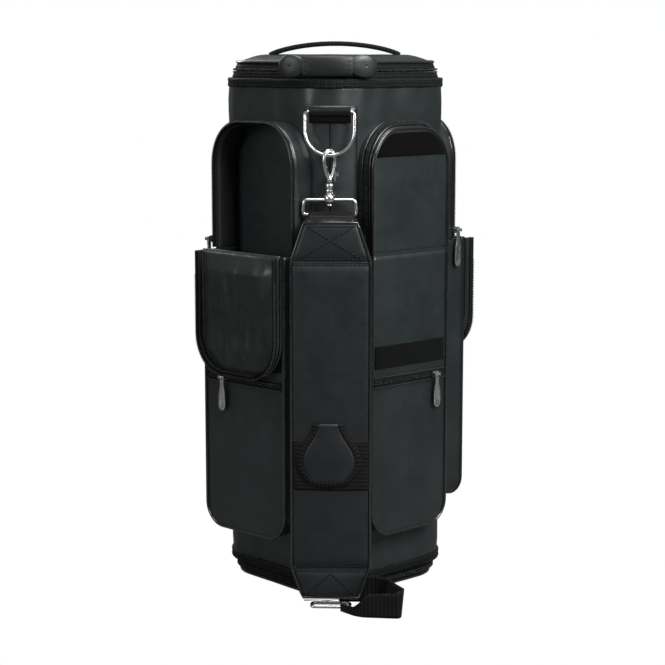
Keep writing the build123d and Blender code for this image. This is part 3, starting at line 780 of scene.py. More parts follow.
def makeArchZip(p):
    # each side: a strip of tape and a row of coil teeth that meet at the zip line
    style = pocketStyle
    path = archPath(p, 0.4, True)
    fine = archPath(p, 0.0, True, step=style["toothPitch"])
    for onLid, start, turn in ((False, p["zip"] - 6.0, -1), (True, p["zip"] + 0.3, 1)):
        body, side = (p["lid"], "Lid") if onLid else ("bag", "Bag")
        tape = newShape()
        levels = [start, start + 2, start + 4, start + style["archTape"]]
        addGrid(tape, gussetRows(p, path, levels, 0.2, onLid, 12))
        welt = newShape()
        edge = start + 5.6 if onLid else start + 0.1
        run = []
        for u, v, nu, nv in path:
            rise = archRise(p, nv, edge, onLid) + 0.5
            run.append(pocketPoint(p, u + nu * rise, v + nv * rise, edge, onLid))
        addTube(welt, run, 0.9, 6)
        makePiece(welt, f"{p['title']}ArchWelt{side}", pipingMaterial, body)
        makePiece(tape, f"{p['title']}ArchTape{side}", zipTapeMaterial, body,
                  [p["lid"] + "_zip_tape"] if onLid else [], solid=0.6)
        teeth = newShape()
        w = p["zip"] + 1.3 * turn
        for (backU, backV, _, _), (u, v, nu, nv), (nextU, nextV, _, _) in zip(fine, fine[1:], fine[2:]):
            if onLid and v < p["hinge"] + style["teethClear"]:
                continue
            rise = archRise(p, nv, w, onLid) + 0.7
            here = pocketPoint(p, u + nu * rise, v + nv * rise, w, onLid)
            ahead = pocketPoint(p, nextU, nextV, w, onLid) - pocketPoint(p, backU, backV, w, onLid)
            outward = pocketPoint(p, u + nu, v + nv, w, onLid) - pocketPoint(p, u, v, w, onLid)
            ahead.normalize()
            outward.normalize()
            addBlock(teeth, here, outward.cross(ahead), ahead, outward, (1.9, 1.0, 1.4), 0.6)
        makePiece(teeth, f"{p['title']}ArchTeeth{side}", paintedGlintToothMaterial, body, smooth=False)


def lineOnPanel(p, v, margin, lift, onLid=False, step=2.0):
    half = halfWidth(p, v, margin)
    places = [-half + 2 * half * k / int(p["width"] / step) for k in range(int(p["width"] / step) + 1)]
    return [pocketPoint(p, u, v, panelDepth(p, u, v) + lift, onLid) for u in places]


def makeLowerZip(p, fixed, coil, seams, welts):
    style = pocketStyle
    z = style["zipLine"]
    addGrid(fixed, [lineOnPanel(p, z + dz, 3, 0.5) for dz in (-5, -2.5, 0, 2.5, 5)])
    half = halfWidth(p, z, 5)
    count = int(2 * half / style["toothPitch"])
    for k in range(count):
        u = -half + 2 * half * k / count
        for side in (-1, 1):
            here = pocketPoint(p, u + 0.4 * side, z + 1.1 * side, panelDepth(p, u, z) + 1.1)
            addBlock(coil, here, up, p["t"], p["n"], (1.7, 1.0, 1.1), 0.6)
    for dz in (-5.4, 5.4):
        addTube(welts, lineOnPanel(p, z + dz, 2.5, 0.5, step=5), 1.0, 6)
    for dz in (-9.0, 8.6):
        stitchRun(seams, lineOnPanel(p, z + dz, 4, 0.25, step=1.0), p["n"])


stitch = {"length": 2.6, "gap": 1.6, "thick": 0.6, "taper": 0.7}


def stitchRun(shape, path, outward):
    # short thread marks along a line of points
    travelled, nextAt = 0.0, 0.0
    for before, here in zip(path, path[1:]):
        travelled += (here - before).length
        if travelled >= nextAt:
            ahead = (here - before).normalized()
            side = outward.cross(ahead).normalized()
            size = (stitch["length"], stitch["thick"], stitch["thick"])
            addBlock(shape, here, ahead, side, outward, size, stitch["taper"])
            nextAt = travelled + stitch["length"] + stitch["gap"]


def addPanelTape(shape, p, ends, margin, onLid=False):
    lift = pocketStyle["tapeLift"]
    addGrid(shape, [lineOnPanel(p, v, margin, lift, onLid, 3.0) for v in evenly(*ends, 12)])


fold = {"steps": 12, "depth": 2.0, "rise": 4.6, "run": 1.6}


def makeHingeFabric(p):
    # the front cloth runs on from the lower panel into the lid and folds between them
    rows = []
    places = across(p["width"] / 2 - 1.2, 10)
    depth, run = fold["depth"], fold["run"]
    for k in range(fold["steps"] + 1):
        if p["open"]:
            angle = math.pi * k / fold["steps"]
            v = p["hinge"] - 4 + fold["rise"] * math.sin(angle)
            w = p["hingeOut"] - depth * math.cos(angle)
            rows.append([p["n"] * w + p["t"] * u + up * v for u in places])
        else:
            v = p["hinge"] - run + 2 * run * k / fold["steps"]
            rows.append([pocketPoint(p, u, v, panelDepth(p, u, v) + 0.1) for u in places])
    shape = newShape()
    addGrid(shape, rows)
    if p["open"]:
        start = p["n"] * (p["hingeOut"] - depth) + up * p["hinge"]
        end = p["n"] * (p["hingeOut"] + depth) + up * p["hinge"]
    else:
        start = p["n"] * p["front"] + up * (p["hinge"] - run)
        end = p["n"] * p["front"] + up * (p["hinge"] + run)
    makePiece(shape, p["title"] + "LidFold", coatedFabric, "bag", solid=0.5,
              blendAcross=("bag", p["lid"], tuple(start * mm), tuple(end * mm)))


fixedTape = newShape()
fixedCoil = newShape()
pocketSeams = newShape()
zipWelts = newShape()
pocketCord = newShape()
loopTapes = newShape()
pocketList = [pocketFrame(name) for name in pocketShapes]
for p in pocketList:
    makePocketShell(p)
    makePocketLid(p)
    makeArchZip(p)
    makeLowerZip(p, fixedTape, fixedCoil, pocketSeams, zipWelts)
    makeHingeFabric(p)
    addPocketCord(pocketCord, p, False)
    addPanelTape(loopTapes, p, pocketStyle["loopTape"], 3.5)
    hookTape = newShape()
    addPanelTape(hookTape, p, pocketStyle["hookTape"], 3.2, True)
    makePiece(hookTape, p["title"] + "HookTape", hookTapeMaterial, p["lid"],
              [p["name"] + "_hook_tape"], solid=-pocketStyle["tapeThick"])
for edge, turn in ((shellHigh.z, 1), (shellLow.z, -1)):
    profile = [(-3.0, edge - turn), (-4.4, edge + 4 * turn), (-6.2, edge + 7.4 * turn)]
    addGrid(fixedTape, ringRows(profile[::turn], 0.2), wrap=True)
makePiece(fixedTape, "fixedZipTapes", zipTapeMaterial, "bag", ["fixed_zip_tapes"], solid=0.5)
makePiece(fixedCoil, "lowerZipTeeth", paintedGlintToothMaterial, "bag", smooth=False)
makePiece(zipWelts, "lowerZipWelts", coatedFabric, "bag")
makePiece(pocketSeams, "pocketStitches", threadMaterial, "bag")
makePiece(pocketCord, "pocketPiping", pipingMaterial, "bag", ["pocket_piping"])
makePiece(loopTapes, "loopTapes", loopTapeMaterial, "bag", ["loop_tapes"],
          solid=-pocketStyle["tapeThick"])
print("pockets made")

# ---------- strip and ring tabs down the front

strip = {
    "half": 30.2, "proud": 1.6,
    # place across and lift of each sewn line, then of the middle seam and both edges
    "seams": ((-2.2, 1.9), (2.2, 1.9), (-27, 2.3), (27, 2.3)),
    "edges": ((0.0, 1.3), (-29.4, 0.9), (29.4, 0.9)),
}
ringTab = {"upper_ring_swing": 22.5, "lower_ring_swing": 16}        # half widths
tabRadius = 3.4                                                     # of the webbing round a ring's bar
stripLow, stripHigh = boxOf("front_strip")


def makeStrip():
    shape = newShape()
    rows = []
    half = strip["half"]
    for z in evenly(stripLow.z, stripHigh.z, 90):
        row = []
        for j in range(25):
            along = (j / 24 - 0.5) * 2 * half
            point, normal = outlineAt(along)
            middle = math.exp(-(along / 3.5) ** 2)
            edge = min(1, (half - abs(along)) / 2.5)
            lift = 0.6 + strip["proud"] * edge - 0.9 * middle + 0.25 * wobble((along, z, 0), 30, 2)
            row.append(point + normal * lift + up * z)
        rows.append(row)
    addGrid(shape, rows)
    makePiece(shape, "frontStrip", coatedFabric, "bag", ["front_strip"], solid=1.0)
    seams = newShape()
    heights = range(int(stripLow.z), int(stripHigh.z))
    for along, lift in strip["seams"]:
        point, normal = outlineAt(along)
        stitchRun(seams, [point + normal * lift + up * z for z in heights], normal)
    makePiece(seams, "stripStitches", threadMaterial, "bag")
    edges = newShape()
    for along, lift in strip["edges"]:
        point, normal = outlineAt(along)
        heights = range(int(stripLow.z), int(stripHigh.z) + 1, 6)
        addTube(edges, [point + normal * lift + up * z for z in heights], 0.8, 6)
    makePiece(edges, "stripSeams", webbingMaterial, "bag")


def makeRingTabs():
    # each tab leaves the strip, goes round its ring's bar and comes back
    tabs = newShape()
    for ringName, half in ringTab.items():
        centre = Vector(joints[ringName]["pos_m"]) / mm
        profile = [(-123.2, centre.z - 12), (-126.0, centre.z - 8)]
        for k in range(11):
            angle = math.pi * (0.5 + k / 10) - math.pi
            profile.append((centre.y - tabRadius * math.cos(angle), centre.z - tabRadius * math.sin(angle)))
        profile.append((-123.6, centre.z + 5))
        rows = []
        for y, z in profile:
            row = []
            for a in range(-8, 9):
                sway = 0.3 * wobble((a, y, z), 6, 4)
                row.append(Vector((half * a / 8, y + 0.35 * (abs(a) / 8) ** 4, z + sway)))
            rows.append(row)
        addGrid(tabs, rows)
    makePiece(tabs, "ringTabs", webbingMaterial, "bag", ["ring_tabs"], solid=1.2)


makeStrip()
makeRingTabs()

# ---------- handle and grab strap

handle = {
    "gripHalf": 27, "height": 22, "padThick": 7.5,
    "bendAt": -30,                          # y of the centre that the handle curves round
    "patchRadius": 13.5, "patchThick": 3.2,
    "patchLong": 1.45, "patchLow": 0.88,    # the patch is drawn out towards the grip and a little flat
    "patchOut": 15, "stitchInset": 2.4,
    "tongueHalf": 9,
}
handleLow, handleHigh = boxOf("carry_handle")
handleMid = Vector(((handleLow.x + handleHigh.x) / 2, handle["bendAt"], (handleLow.z + handleHigh.z) / 2))
handleRadius = handle["bendAt"] - handleLow.y - 3


def onHandle(along, z, lift=0.0):
    angle = along / handleRadius
    outward = Vector((math.sin(angle), -math.cos(angle), 0))
    return Vector((handleMid.x, handleMid.y, z)) + outward * (handleRadius + lift), outward


def onHandlePatch(side, angle, reach, lift):
    # a point of the round patch at the grip's end on this side
    dx = math.cos(angle) * reach
    if dx * side < 0:
        dx *= handle["patchLong"]
    centre = side * (handle["gripHalf"] + handle["patchOut"])
    return onHandle(centre + dx, handleMid.z + math.sin(angle) * reach * handle["patchLow"], lift)[0]


def makeHandle():
    grip = newShape()
    rows = []
    gripHalf, corners = handle["gripHalf"], fullTurn(20)
    for i in range(25):
        along = -gripHalf + 2 * gripHalf * i / 24
        end = 1 - (abs(i - 12) / 12) ** 8 * 0.25
        row = []
        for x, z in corners:
            square = (abs(x) ** 3 + abs(z) ** 3) ** (-1 / 3)
            lift = x * square * handle["padThick"] / 2 * end
            height = handleMid.z + z * square * handle["height"] / 2 * (0.97 + 0.03 * end)
            row.append(onHandle(along, height, lift)[0])
        rows.append(row)
    addGrid(grip, rows, wrap=True)
    addCap(grip, rows[0], True)
    addCap(grip, rows[-1])
    piece = makePiece(grip, "handleGrip", padFabric, "top_lid", ["carry_handle"],
                      subdivide=1)
    patches = newShape()
    seams = newShape()
    for side in (-1, 1):
        rows = []
        for ring in range(8):
            scale = ring / 7
            dome = handle["patchThick"] / 2 * (1 - scale ** 4)
            rows.append([onHandlePatch(side, 2 * math.pi * k / 28, handle["patchRadius"] * scale, dome)
                         for k in range(28)])
        addGrid(patches, rows, wrap=True)
        reach = handle["patchRadius"] - handle["stitchInset"]
        centre = side * (gripHalf + handle["patchOut"])
        path = [onHandlePatch(side, 2 * math.pi * k / 89, reach, 1.5) for k in range(90)]
        stitchRun(seams, path, onHandle(centre, handleMid.z)[1])
        # a tongue from the patch back to the lid's top
        top = lidTop + 1.2
        start = onHandle(centre, handleMid.z + 8, -1.2)[0]
        inner = Vector((start.x * 0.93, -76, top))
        rows = []
        for k in range(9):
            bend = start.lerp(inner, k / 8)
            bend.z = start.z + (top - start.z) * math.sin(math.pi / 2 * min(1, k / 8 * 2.2))
            rows.append([bend + Vector((handle["tongueHalf"] * a / 4, 0, 0)) for a in range(-4, 5)])
        addGrid(patches, rows)
    for along in (3 - gripHalf, gripHalf - 3, 5.4 - gripHalf, gripHalf - 5.4):
        path = [onHandle(along, handleMid.z + dz * 0.5, handle["padThick"] / 2 + 0.1)[0]
                for dz in range(-17, 18)]
        stitchRun(seams, path, onHandle(along, 0)[1])
    makePiece(patches, "handlePatches", coatedFabric, "top_lid", solid=1.4)
    makePiece(seams, "handleStitches", threadMaterial, "top_lid")


def makeGrabStrap():
    low, high = boxOf("grab_strap")
    shape = newShape()
    rows = []
    half = (high.x - low.x) / 2
    for k in range(49):
        s = -1 + 2 * k / 48
        rise = (high.z - 1.5 - low.z - 1.2) * (1 - s * s) ** 0.8 if abs(s) < 1 else 0
        rows.append([Vector((half * s, high.y * a / 6, low.z + 1.2 + rise + 0.35 * (1 - (a / 6) ** 4)))
                     for a in range(-6, 7)])
    addGrid(shape, rows)
    makePiece(shape, "grabStrap", webbingMaterial, "top_lid", ["grab_strap"], solid=5.0)


makeHandle()
makeGrabStrap()
print("handle and strip made")

# ---------- shoulder strap

pad = {
    "topWidth": 56.0, "width": 85.0, "lowWidth": 60.0,
    "edgeThick": 6.5, "crown": 2.0,
    "seams": (384.0, 46.0),
    "pipingRadius": 1.5,
    "pressure": 3.2, "frames": 18,      # of the air that swells it, and how long it swells
    "cap": 3.0,                         # the most that a point may move
    "columns": 22, "rowStep": 3.4,
}
padLow, padHigh = boxOf("shoulder_pad")
padMidX = (padLow.x + padHigh.x) / 2
padMidY = (padLow.y + padHigh.y) / 2
padTopX = joints["pad_swing"]["pos_m"][0] / mm + 2.0


def padEdges(z):
    # left and right edge of the pad at this height
    topSeam, lowSeam = pad["seams"]
    centre, width = padMidX, pad["width"]
    if z > topSeam:
        s = (z - topSeam) / (padHigh.z - topSeam)
        centre += (padTopX - padMidX) * s
        width += (pad["topWidth"] - pad["width"]) * s
    elif z < lowSeam:
        width += (pad["lowWidth"] - pad["width"]) * (lowSeam - z) / (lowSeam - padLow.z)
    return centre - width / 2, centre + width / 2


def inflate(piece, pinned, settings):
    # pressure swells the pad between its sewn seams, then the result is kept as the mesh
    group = piece.vertex_groups.new(name="seam")
    group.add(pinned, 1.0, "REPLACE")
    cloth = piece.modifiers.new("swell", "CLOTH")
    fabric = cloth.settings
    fabric.quality, fabric.mass = 6, 0.15
    fabric.tension_stiffness = fabric.compression_stiffness = 18
    fabric.bending_stiffness = 2.0
    fabric.vertex_group_mass = "seam"
    fabric.use_pressure = True
    fabric.uniform_pressure_force = settings["pressure"]
    fabric.effector_weights.gravity = 0
    scene = bpy.context.scene
    cloth.point_cache.frame_start = 1
    cloth.point_cache.frame_end = settings["frames"] + 1
    for step in range(1, settings["frames"] + 1):
        scene.frame_set(step)
    view = piece.evaluated_get(bpy.context.evaluated_depsgraph_get())
    moved = [v.co.copy() for v in view.data.vertices]
    piece.modifiers.remove(cloth)
    cap = settings["cap"] * mm
    for vertex, target in zip(piece.data.vertices, moved):
        shift = target - vertex.co
        if shift.length > cap:
            shift = shift.normalized() * cap
        vertex.co = vertex.co + shift
    scene.frame_set(1)
    piece.vertex_groups.clear()


def makePad():
    shape = newShape()
    levels = []
    z = padLow.z
    while z < padHigh.z - 0.1:
        levels.append(z)
        z += pad["rowStep"]
    levels.append(padHigh.z - 0.5)
    columns = pad["columns"]
    loop = [(a, -1) for a in range(columns + 1)] + [(a, 1) for a in range(columns, -1, -1)]
    rows = []
    pinned = []
    for i, z in enumerate(levels):
        left, right = padEdges(z)
        nearSeam = min(*(abs(z - seam) for seam in pad["seams"]), z - padLow.z, padHigh.z - z)
        pinch = 1 - 0.55 * math.exp(-(nearSeam / 4.5) ** 2)
        row = []
        for j, (a, side) in enumerate(loop):
            s = a / columns
            edge = min(1, (4 * s * (1 - s)) ** 0.35)
            thick = (pad["edgeThick"] / 2 + pad["crown"] * edge) * pinch
            if a in (0, columns):
                thick = pad["edgeThick"] / 2.4
            row.append(Vector((left + (right - left) * s, padMidY + side * thick, z)))
            if a in (0, columns) or nearSeam < 2.0:
                pinned.append(i * len(loop) + j)
        rows.append(row)
    addGrid(shape, rows, wrap=True)
    addCap(shape, rows[0], True)
    addCap(shape, rows[-1])
    piece = makePiece(shape, "shoulderPad", padFabric, "strap", ["shoulder_pad"])
    inflate(piece, pinned, pad)
    for polygon in piece.data.polygons:
        polygon.use_smooth = True
    piece.modifiers.new("round", "SUBSURF").render_levels = 1
    return piece


padPiece = makePad()
padTree = BVHTree.FromPolygons([v.co / mm for v in padPiece.data.vertices],
                               [tuple(face.vertices) for face in padPiece.data.polygons])


def onPad(x, z, lift=0.0):
    # the point of the pad's front face at this place
    hit = padTree.ray_cast(Vector((x, -400, z)), Vector((0, 1, 0)))
    y = hit[0].y if hit[0] is not None else padMidY - pad["edgeThick"] / 2
    return Vector((x, y - lift, z))


def padLine(start, end, lift=0.15):
    (startX, startZ), (endX, endZ) = start, end
    count = max(2, int((Vector(end) - Vector(start)).length / 1.2))
    return [onPad(startX + (endX - startX) * k / count, startZ + (endZ - startZ) * k / count, lift)
            for k in range(count + 1)]


def padSeamLines():
    # both ends of each sewn line: crossed ones at the top, a pair beside each seam, a peak at the foot
    topSeam, lowSeam = pad["seams"]
    left, right = padEdges(topSeam)
    topAt = padHigh.z - 5
    topLeft, topRight = padEdges(topAt)
    lines = [((left + 5, topSeam + 1), (topRight - 5, topAt)),
             ((right - 5, topSeam + 1), (topLeft + 5, topAt)),
             ((left + 2, topSeam + 3), (right - 2, topSeam + 3)),
             ((left + 2, topSeam - 3), (right - 2, topSeam - 3)),
             ((topLeft + 3, topAt), (topRight - 3, topAt)),
             ((left + 2, lowSeam + 3), (right - 2, lowSeam + 3)),
             ((left + 2, lowSeam - 3), (right - 2, lowSeam - 3))]
    footAt = padLow.z + 4
    lowLeft, lowRight = padEdges(footAt)
    lines += [((x, footAt), (padMidX, lowSeam - 5)) for x in (lowLeft + 4, lowRight - 4)]
    return lines, ((lowLeft + 3, footAt), (lowRight - 3, footAt))


def makePadTrim():
    front = Vector((0, -1, 0))
    seams = newShape()
    furrowShadeCords = newShape()
    lines, footLine = padSeamLines()
    for start, end in lines:
        stitchRun(seams, padLine(start, end, 0.5), front)
        # dark cords along each sewn line: painted shade for the furrows the seams press into the pad
        addTube(furrowShadeCords, padLine(start, end, 0.0), 0.75, 6)
    stitchRun(seams, padLine(*footLine), front)
    makePiece(seams, "padStitches", threadMaterial, "strap")
    makePiece(furrowShadeCords, "padFurrowShadeCords", webbingMaterial, "strap")
    grooves = newShape()
    for z in pad["seams"]:
        leftZ, rightZ = padEdges(z)
        addTube(grooves, padLine((leftZ + 1, z), (rightZ - 1, z), 0.1), 0.7, 6)
    makePiece(grooves, "padSeams", pipingMaterial, "strap")
    cord = newShape()
    reach = pad["edgeThick"] / 2.3
    count = 70
    heights = [padLow.z + 1 + (padHigh.z - padLow.z - 2) * k / count for k in range(count + 1)]
    for depth in (-1, 1):
        left = [Vector((padEdges(z)[0] - 0.4, padMidY + depth * reach, z)) for z in heights]
        right = [Vector((padEdges(z)[1] + 0.4, padMidY + depth * reach, z)) for z in heights]
        addTube(cord, left + right[::-1], pad["pipingRadius"], closed=True)
    makePiece(cord, "padPiping", pipingMaterial, "strap")
    sides = newShape()
    for edge in (0, 1):
        rows = []
        for k in range(60):
            z = padLow.z + 2 + (padHigh.z - padLow.z - 4) * k / 59
            rows.append([Vector((padEdges(z)[edge], padMidY + reach * a / 2, z)) for a in range(-2, 3)])
        addGrid(sides, rows)
    makePiece(sides, "padSideBand", padFabric, "strap", solid=0.6)


patchLow, patchHigh = boxOf("grip_patch")
patch = {
    "bandLow": patchLow.z, "bandHigh": patchHigh.z - 19,
    "low": patchLow.z + 9, "top": patchHigh.z,
    "border": 6.5,
    "wide": 28.5, "narrow": 10.0, "least": 7.0,     # half widths of the pear
    "widest": 0.36,                                 # how far up it is widest
}


def pearHalf(s):
    # half width of the pear from its bottom (0) to its top (1)
    wide, narrow, widest = patch["wide"], patch["narrow"], patch["widest"]
    if s < widest:
        half = wide * math.sqrt(max(0.0, 1 - ((s - widest) / 0.40) ** 2))
    else:
        blendIn = (s - widest) / (1 - widest)
        half = wide + (narrow - wide) * (3 * blendIn ** 2 - 2 * blendIn ** 3)
    return max(patch["least"], half)


def makeGripPatch():
    band = newShape()
    rows = []
    for z in evenly(patch["bandLow"], patch["bandHigh"], 18):
        left, right = padEdges(z)
        rows.append([onPad(left + 1 + (right - left - 2) * a / 26, z, 0.8) for a in range(27)])
    addGrid(band, rows)
    makePiece(band, "gripBand", webbingMaterial, "strap", ["grip_patch"], solid=0.6)
    # pear-shaped patch inside a ribbed border, open at its top seam
    centreX, bottom, top = padMidX - 2, patch["low"], patch["top"]
    face = newShape()
    rows = []
    for k in range(25):
        s = k / 24
        z = bottom + (top - bottom) * s
        half = pearHalf(s)
        swell = math.sin(math.pi * min(1, s * 1.1))
        rows.append([onPad(centreX + half * a / 9, z, 2.2 + 1.4 * (1 - (a / 9) ** 2) * swell)
                     for a in range(-9, 10)])
    addGrid(face, rows)
    piece = makePiece(face, "gripPatch", padFabric, "strap", solid=1.0)
    left, bottomArc, right = [], [], []
    for k in range(27):
        s = 1 - k / 26 * 0.92
        z = bottom + (top - bottom) * s
        left.append((centreX - pearHalf(s) - 2.5, z))
        right.append((centreX + pearHalf(s) + 2.5, z))
    reach, foot = left[-1][0] - centreX, left[-1][1]
    for k in range(1, 12):
        angle = math.pi + math.pi * k / 12
        bottomArc.append((centreX - reach * math.cos(angle), foot + 6.5 * math.sin(angle)))
    route = left + bottomArc + right[::-1]
    border = newShape()
    rows = []
    for index, (x, z) in enumerate(route):
        before, after = route[max(0, index - 1)], route[min(len(route) - 1, index + 1)]
        ahead = Vector((after[0] - before[0], after[1] - before[1])).normalized()
        side = Vector((ahead.y, -ahead.x))
        wide = patch["border"]
        rows.append([onPad(x + side.x * wide * a / 4, z + side.y * wide * a / 4, 3.0 - 0.5 * abs(a))
                     for a in range(-3, 4)])
    addGrid(border, rows)
    makePiece(border, "gripBorder", webbingMaterial, "strap", solid=0.8)


webbing = {
    "width": 30.0, "narrow": 9.0, "low": 0.8,
    "sleeve": 50.0, "wrap": 3.4,            # width of the upper piece and its radius round the bar
    "lean": 0.10, "thick": 1.4,
}
tailRoute = [(14, -164), (34, -185), (78, -188), (81, -178),
             (70, -158), (62, -138), (50, -131), (10, -130.4)]


def bendPoints(start, corner, end, count):
    # a short curve from start to end that turns about the corner
    curve = []
    for i in range(count + 1):
        s = i / count
        curve.append(start * (1 - s) ** 2 + corner * 2 * s * (1 - s) + end * s ** 2)
    return curve


def smoothRoute(points):
    # rounds the corners of the route with short curves
    path = [Vector((*points[0], 0))]
    for k in range(1, len(points) - 1):
        a, b, c = (Vector((*points[k + d], 0)) for d in (-1, 0, 1))
        reach = min(0.42 * (b - a).length, 0.42 * (c - b).length, 11)
        start, end = b + (a - b).normalized() * reach, b + (c - b).normalized() * reach
        path += bendPoints(start, b, end, 14)
    path.append(Vector((*points[-1], 0)))
    return path


def makeWebbing():
    shape = newShape()
    path = smoothRoute(tailRoute)
    columns = []
    total = len(path) - 1
    for i, point in enumerate(path):
        lean = webbing["lean"] * math.sin(3 * i / total) * webbing["width"]
        before, after = path[max(0, i - 1)], path[min(total, i + 1)]
        ahead = (after - before).normalized()
        side = Vector((ahead.y, -ahead.x, 0))
        spread = min(1, i / (total * 0.22))
        height = webbing["narrow"] + (webbing["width"] - webbing["narrow"]) * (3 - 2 * spread) * spread ** 2
        columns.append([point + side * lean * (a / 8 - 0.5) + up * (webbing["low"] + height * a / 8)
                        for a in range(9)])
    addGrid(shape, columns)
    # the upper piece wraps the loop's bar and is sewn behind the pad
    bar = Vector(joints["pad_swing"]["pos_m"]) / mm
    profile = [(padMidY - 1.5, padHigh.z - 6), (padMidY - 1.0, padHigh.z - 1)]
    reach = webbing["wrap"]
    for k in range(15):
        angle = math.radians(-150 + 300 * k / 14)
        profile.append((bar.y - reach * math.cos(angle), bar.z + reach * math.sin(angle)))
    profile += [(padMidY + 4.0, padHigh.z - 1), (padMidY + 6.2, padHigh.z - 8),
                (padMidY + 7.2, padHigh.z - 20)]
    places = across(webbing["sleeve"] / 2, 10)
    addGrid(shape, [[Vector((padTopX + x, y, z)) for x in places] for y, z in profile])
    makePiece(shape, "strapWebbing", webbingMaterial, "strap", ["strap_webbing"],
              solid=webbing["thick"])


makePadTrim()
makeGripPatch()
makeWebbing()
print("shoulder strap made")

# ---------- metal

tabStyle = {"neck": 2.9, "shoulder": 4.0, "wide": 5.3, "thick": 1.5, "dip": 0.45, "barrel": 1.8}


def makePull(name):
    # a flat pull: a barrel on the pin, a narrow neck, and a broad rounded end with a sunk oval
    joint = joints[name + "_swing"]
    pin = Vector(joint["pos_m"]) / mm
    axis = Vector(joint["axis"])
    outward = axis.cross(Vector((0, 0, -1))).normalized()
    length = pin.z - boxOf(name)[0].z
    neck, wide, half = tabStyle["neck"], tabStyle["wide"], tabStyle["thick"] / 2
    shape = newShape()
    addTube(shape, [pin + axis * x for x in (-2.9, -2.8, 2.8, 2.9)], tabStyle["barrel"], 14)
    # half widths down the length of the pull, as shares of it
    profile = [(0.02, neck), (0.22, neck), (0.34, tabStyle["shoulder"]), (0.46, wide - 0.4), (0.72, wide),
               (0.86, wide), (0.93, wide * 0.86), (0.975, wide * 0.6), (0.998, wide * 0.25)]
    rows = []
    for s, reach in profile:
        centre = pin - up * (1.6 + (length - 1.6) * s)
        inner = max(0.05, reach - 0.5)
        low = half - (tabStyle["dip"] if 0.5 < s < 0.9 else 0.0)
        ring = [(-reach, 0), (-inner, half), (-inner * 0.62, half), (-inner * 0.5, low), (inner * 0.5, low),
                (inner * 0.62, half), (inner, half), (reach, 0), (inner, -half), (0, -half), (-inner, -half)]
        rows.append([centre + axis * x + outward * y for x, y in ring])
    addGrid(shape, rows, wrap=True)
    addCap(shape, rows[0], True)
    addCap(shape, rows[-1])
    first, *others = name.split("_")
    title = first + "".join(word.capitalize() for word in others)
    makePiece(shape, title, chromeMaterial, name, [name])


for pocket in pocketList:
    for kind in ("lower_pull", "arch_pull"):
        makePull(f"{pocket['name']}_{kind}")

hook = {"wire": 2.2, "wide": 9.4, "narrowShare": 0.45}
wireLoop = {"wire": 2.1, "height": 16, "lean": 1.5, "bend": 4.5}


def addLathe(shape, y, profile):
    # a round part about the upright line at this y; profile: (radius, z) pairs
    rows = [[Vector((c * radius, y + s * radius, z)) for c, s in fullTurn(20)] for radius, z in profile]
    addGrid(shape, rows, wrap=True)


def makeHook():
    # teardrop hook, swivelling collar and the post that turns in the loop's boss
    low, high = boxOf("snap_hook")
    y = joints["hook_swivel"]["pos_m"][1] / mm
    axis = Vector(joints["hook_gate_press"]["axis"])
    sideways = up.cross(axis).normalized() * -1
    base = Vector((0, y, 0))
    top = high.z - hook["wire"]
    neck = high.z - 33
    shape = newShape()
    path = []
    for k in range(41):
        angle = math.radians(-90 + 360 * k / 40)
        lift = (1 + math.sin(angle)) / 2
        wide = hook["wide"] * math.cos(angle) * (hook["narrowShare"] + (1 - hook["narrowShare"]) * lift)
        path.append(base + sideways * wide + up * (neck + (top - neck) * lift))
    addTube(shape, path, hook["wire"], 12, closed=True)
    collar = low.z + 13.4
    addLathe(shape, y, [(0.4, neck + 3), (2.9, neck + 2), (3.4, neck - 4), (3.2, collar + 12),
                        (4.6, collar + 10.5), (4.8, collar + 7), (3.9, collar + 5.5), (4.6, collar + 4),
                        (4.4, collar + 1), (2.4, collar), (2.0, low.z + 3), (3.2, low.z + 2.4), (3.0, low.z),
                        (0.3, low.z - 0.2)])
    makePiece(shape, "snapHook", chromeMaterial, "snap_hook", ["snap_hook"])


def makeStrapLoop():
    # a wire frame a little wider at its lower bar, with a round boss for the hook's post
    high = boxOf("strap_loop")[1]
    y, bar = (joints["pad_swing"]["pos_m"][k] / mm for k in (1, 2))
    topBar = bar + wireLoop["height"]
    half, lean, reach = high.x - 2, wireLoop["lean"], wireLoop["bend"]
    shape = newShape()
    corners = [Vector((x, y, z)) for x, z in ((-half, bar), (half, bar), (half - lean, topBar),
                                              (-half + lean, topBar))]
    path = []
    for k in range(4):
        before, here, after = (corners[(k + d) % 4] for d in (-1, 0, 1))
        start, end = here + (before - here).normalized() * reach, here + (after - here).normalized() * reach
        path += bendPoints(start, here, end, 8)
    addTube(shape, path, wireLoop["wire"], 12, closed=True)
    addLathe(shape, y, [(2.2, high.z), (5.2, high.z - 0.3), (6.2, high.z - 2.5), (6.4, topBar + 1),
                        (5.6, topBar - 2.5), (4.0, topBar - 4), (2.2, topBar - 4)])
    makePiece(shape, "strapLoop", chromeMaterial, "strap_loop", ["strap_loop"])


makeHook()
makeStrapLoop()

nodeMaterials = {"wall_stiffener": boardMaterial, "base_board": boardMaterial}
for name, node in frame["nodes"].items():
    if not node.hide_render:
        finish = nodeMaterials.get(name, chromeMaterial)
        node.data.materials.clear()
        node.data.materials.append(finish)
        print("carried over:", name)
print("metal made")

# ---------- stage

# where each lamp stands (metres), how wide it is and its power
lamps = {
    "key": ((1.05, -1.1, 1.35), 0.8, 34),
    "fill": ((-2.3, -1.9, 1.2), 1.2, 18),
    "top": ((0.1, -0.3, 2.1), 1.2, 26),
    "rim": ((-1.2, 1.6, 1.5), 1.0, 12),
}
lampAim = Vector((0, 0, 0.3))
airStrength = 0.19


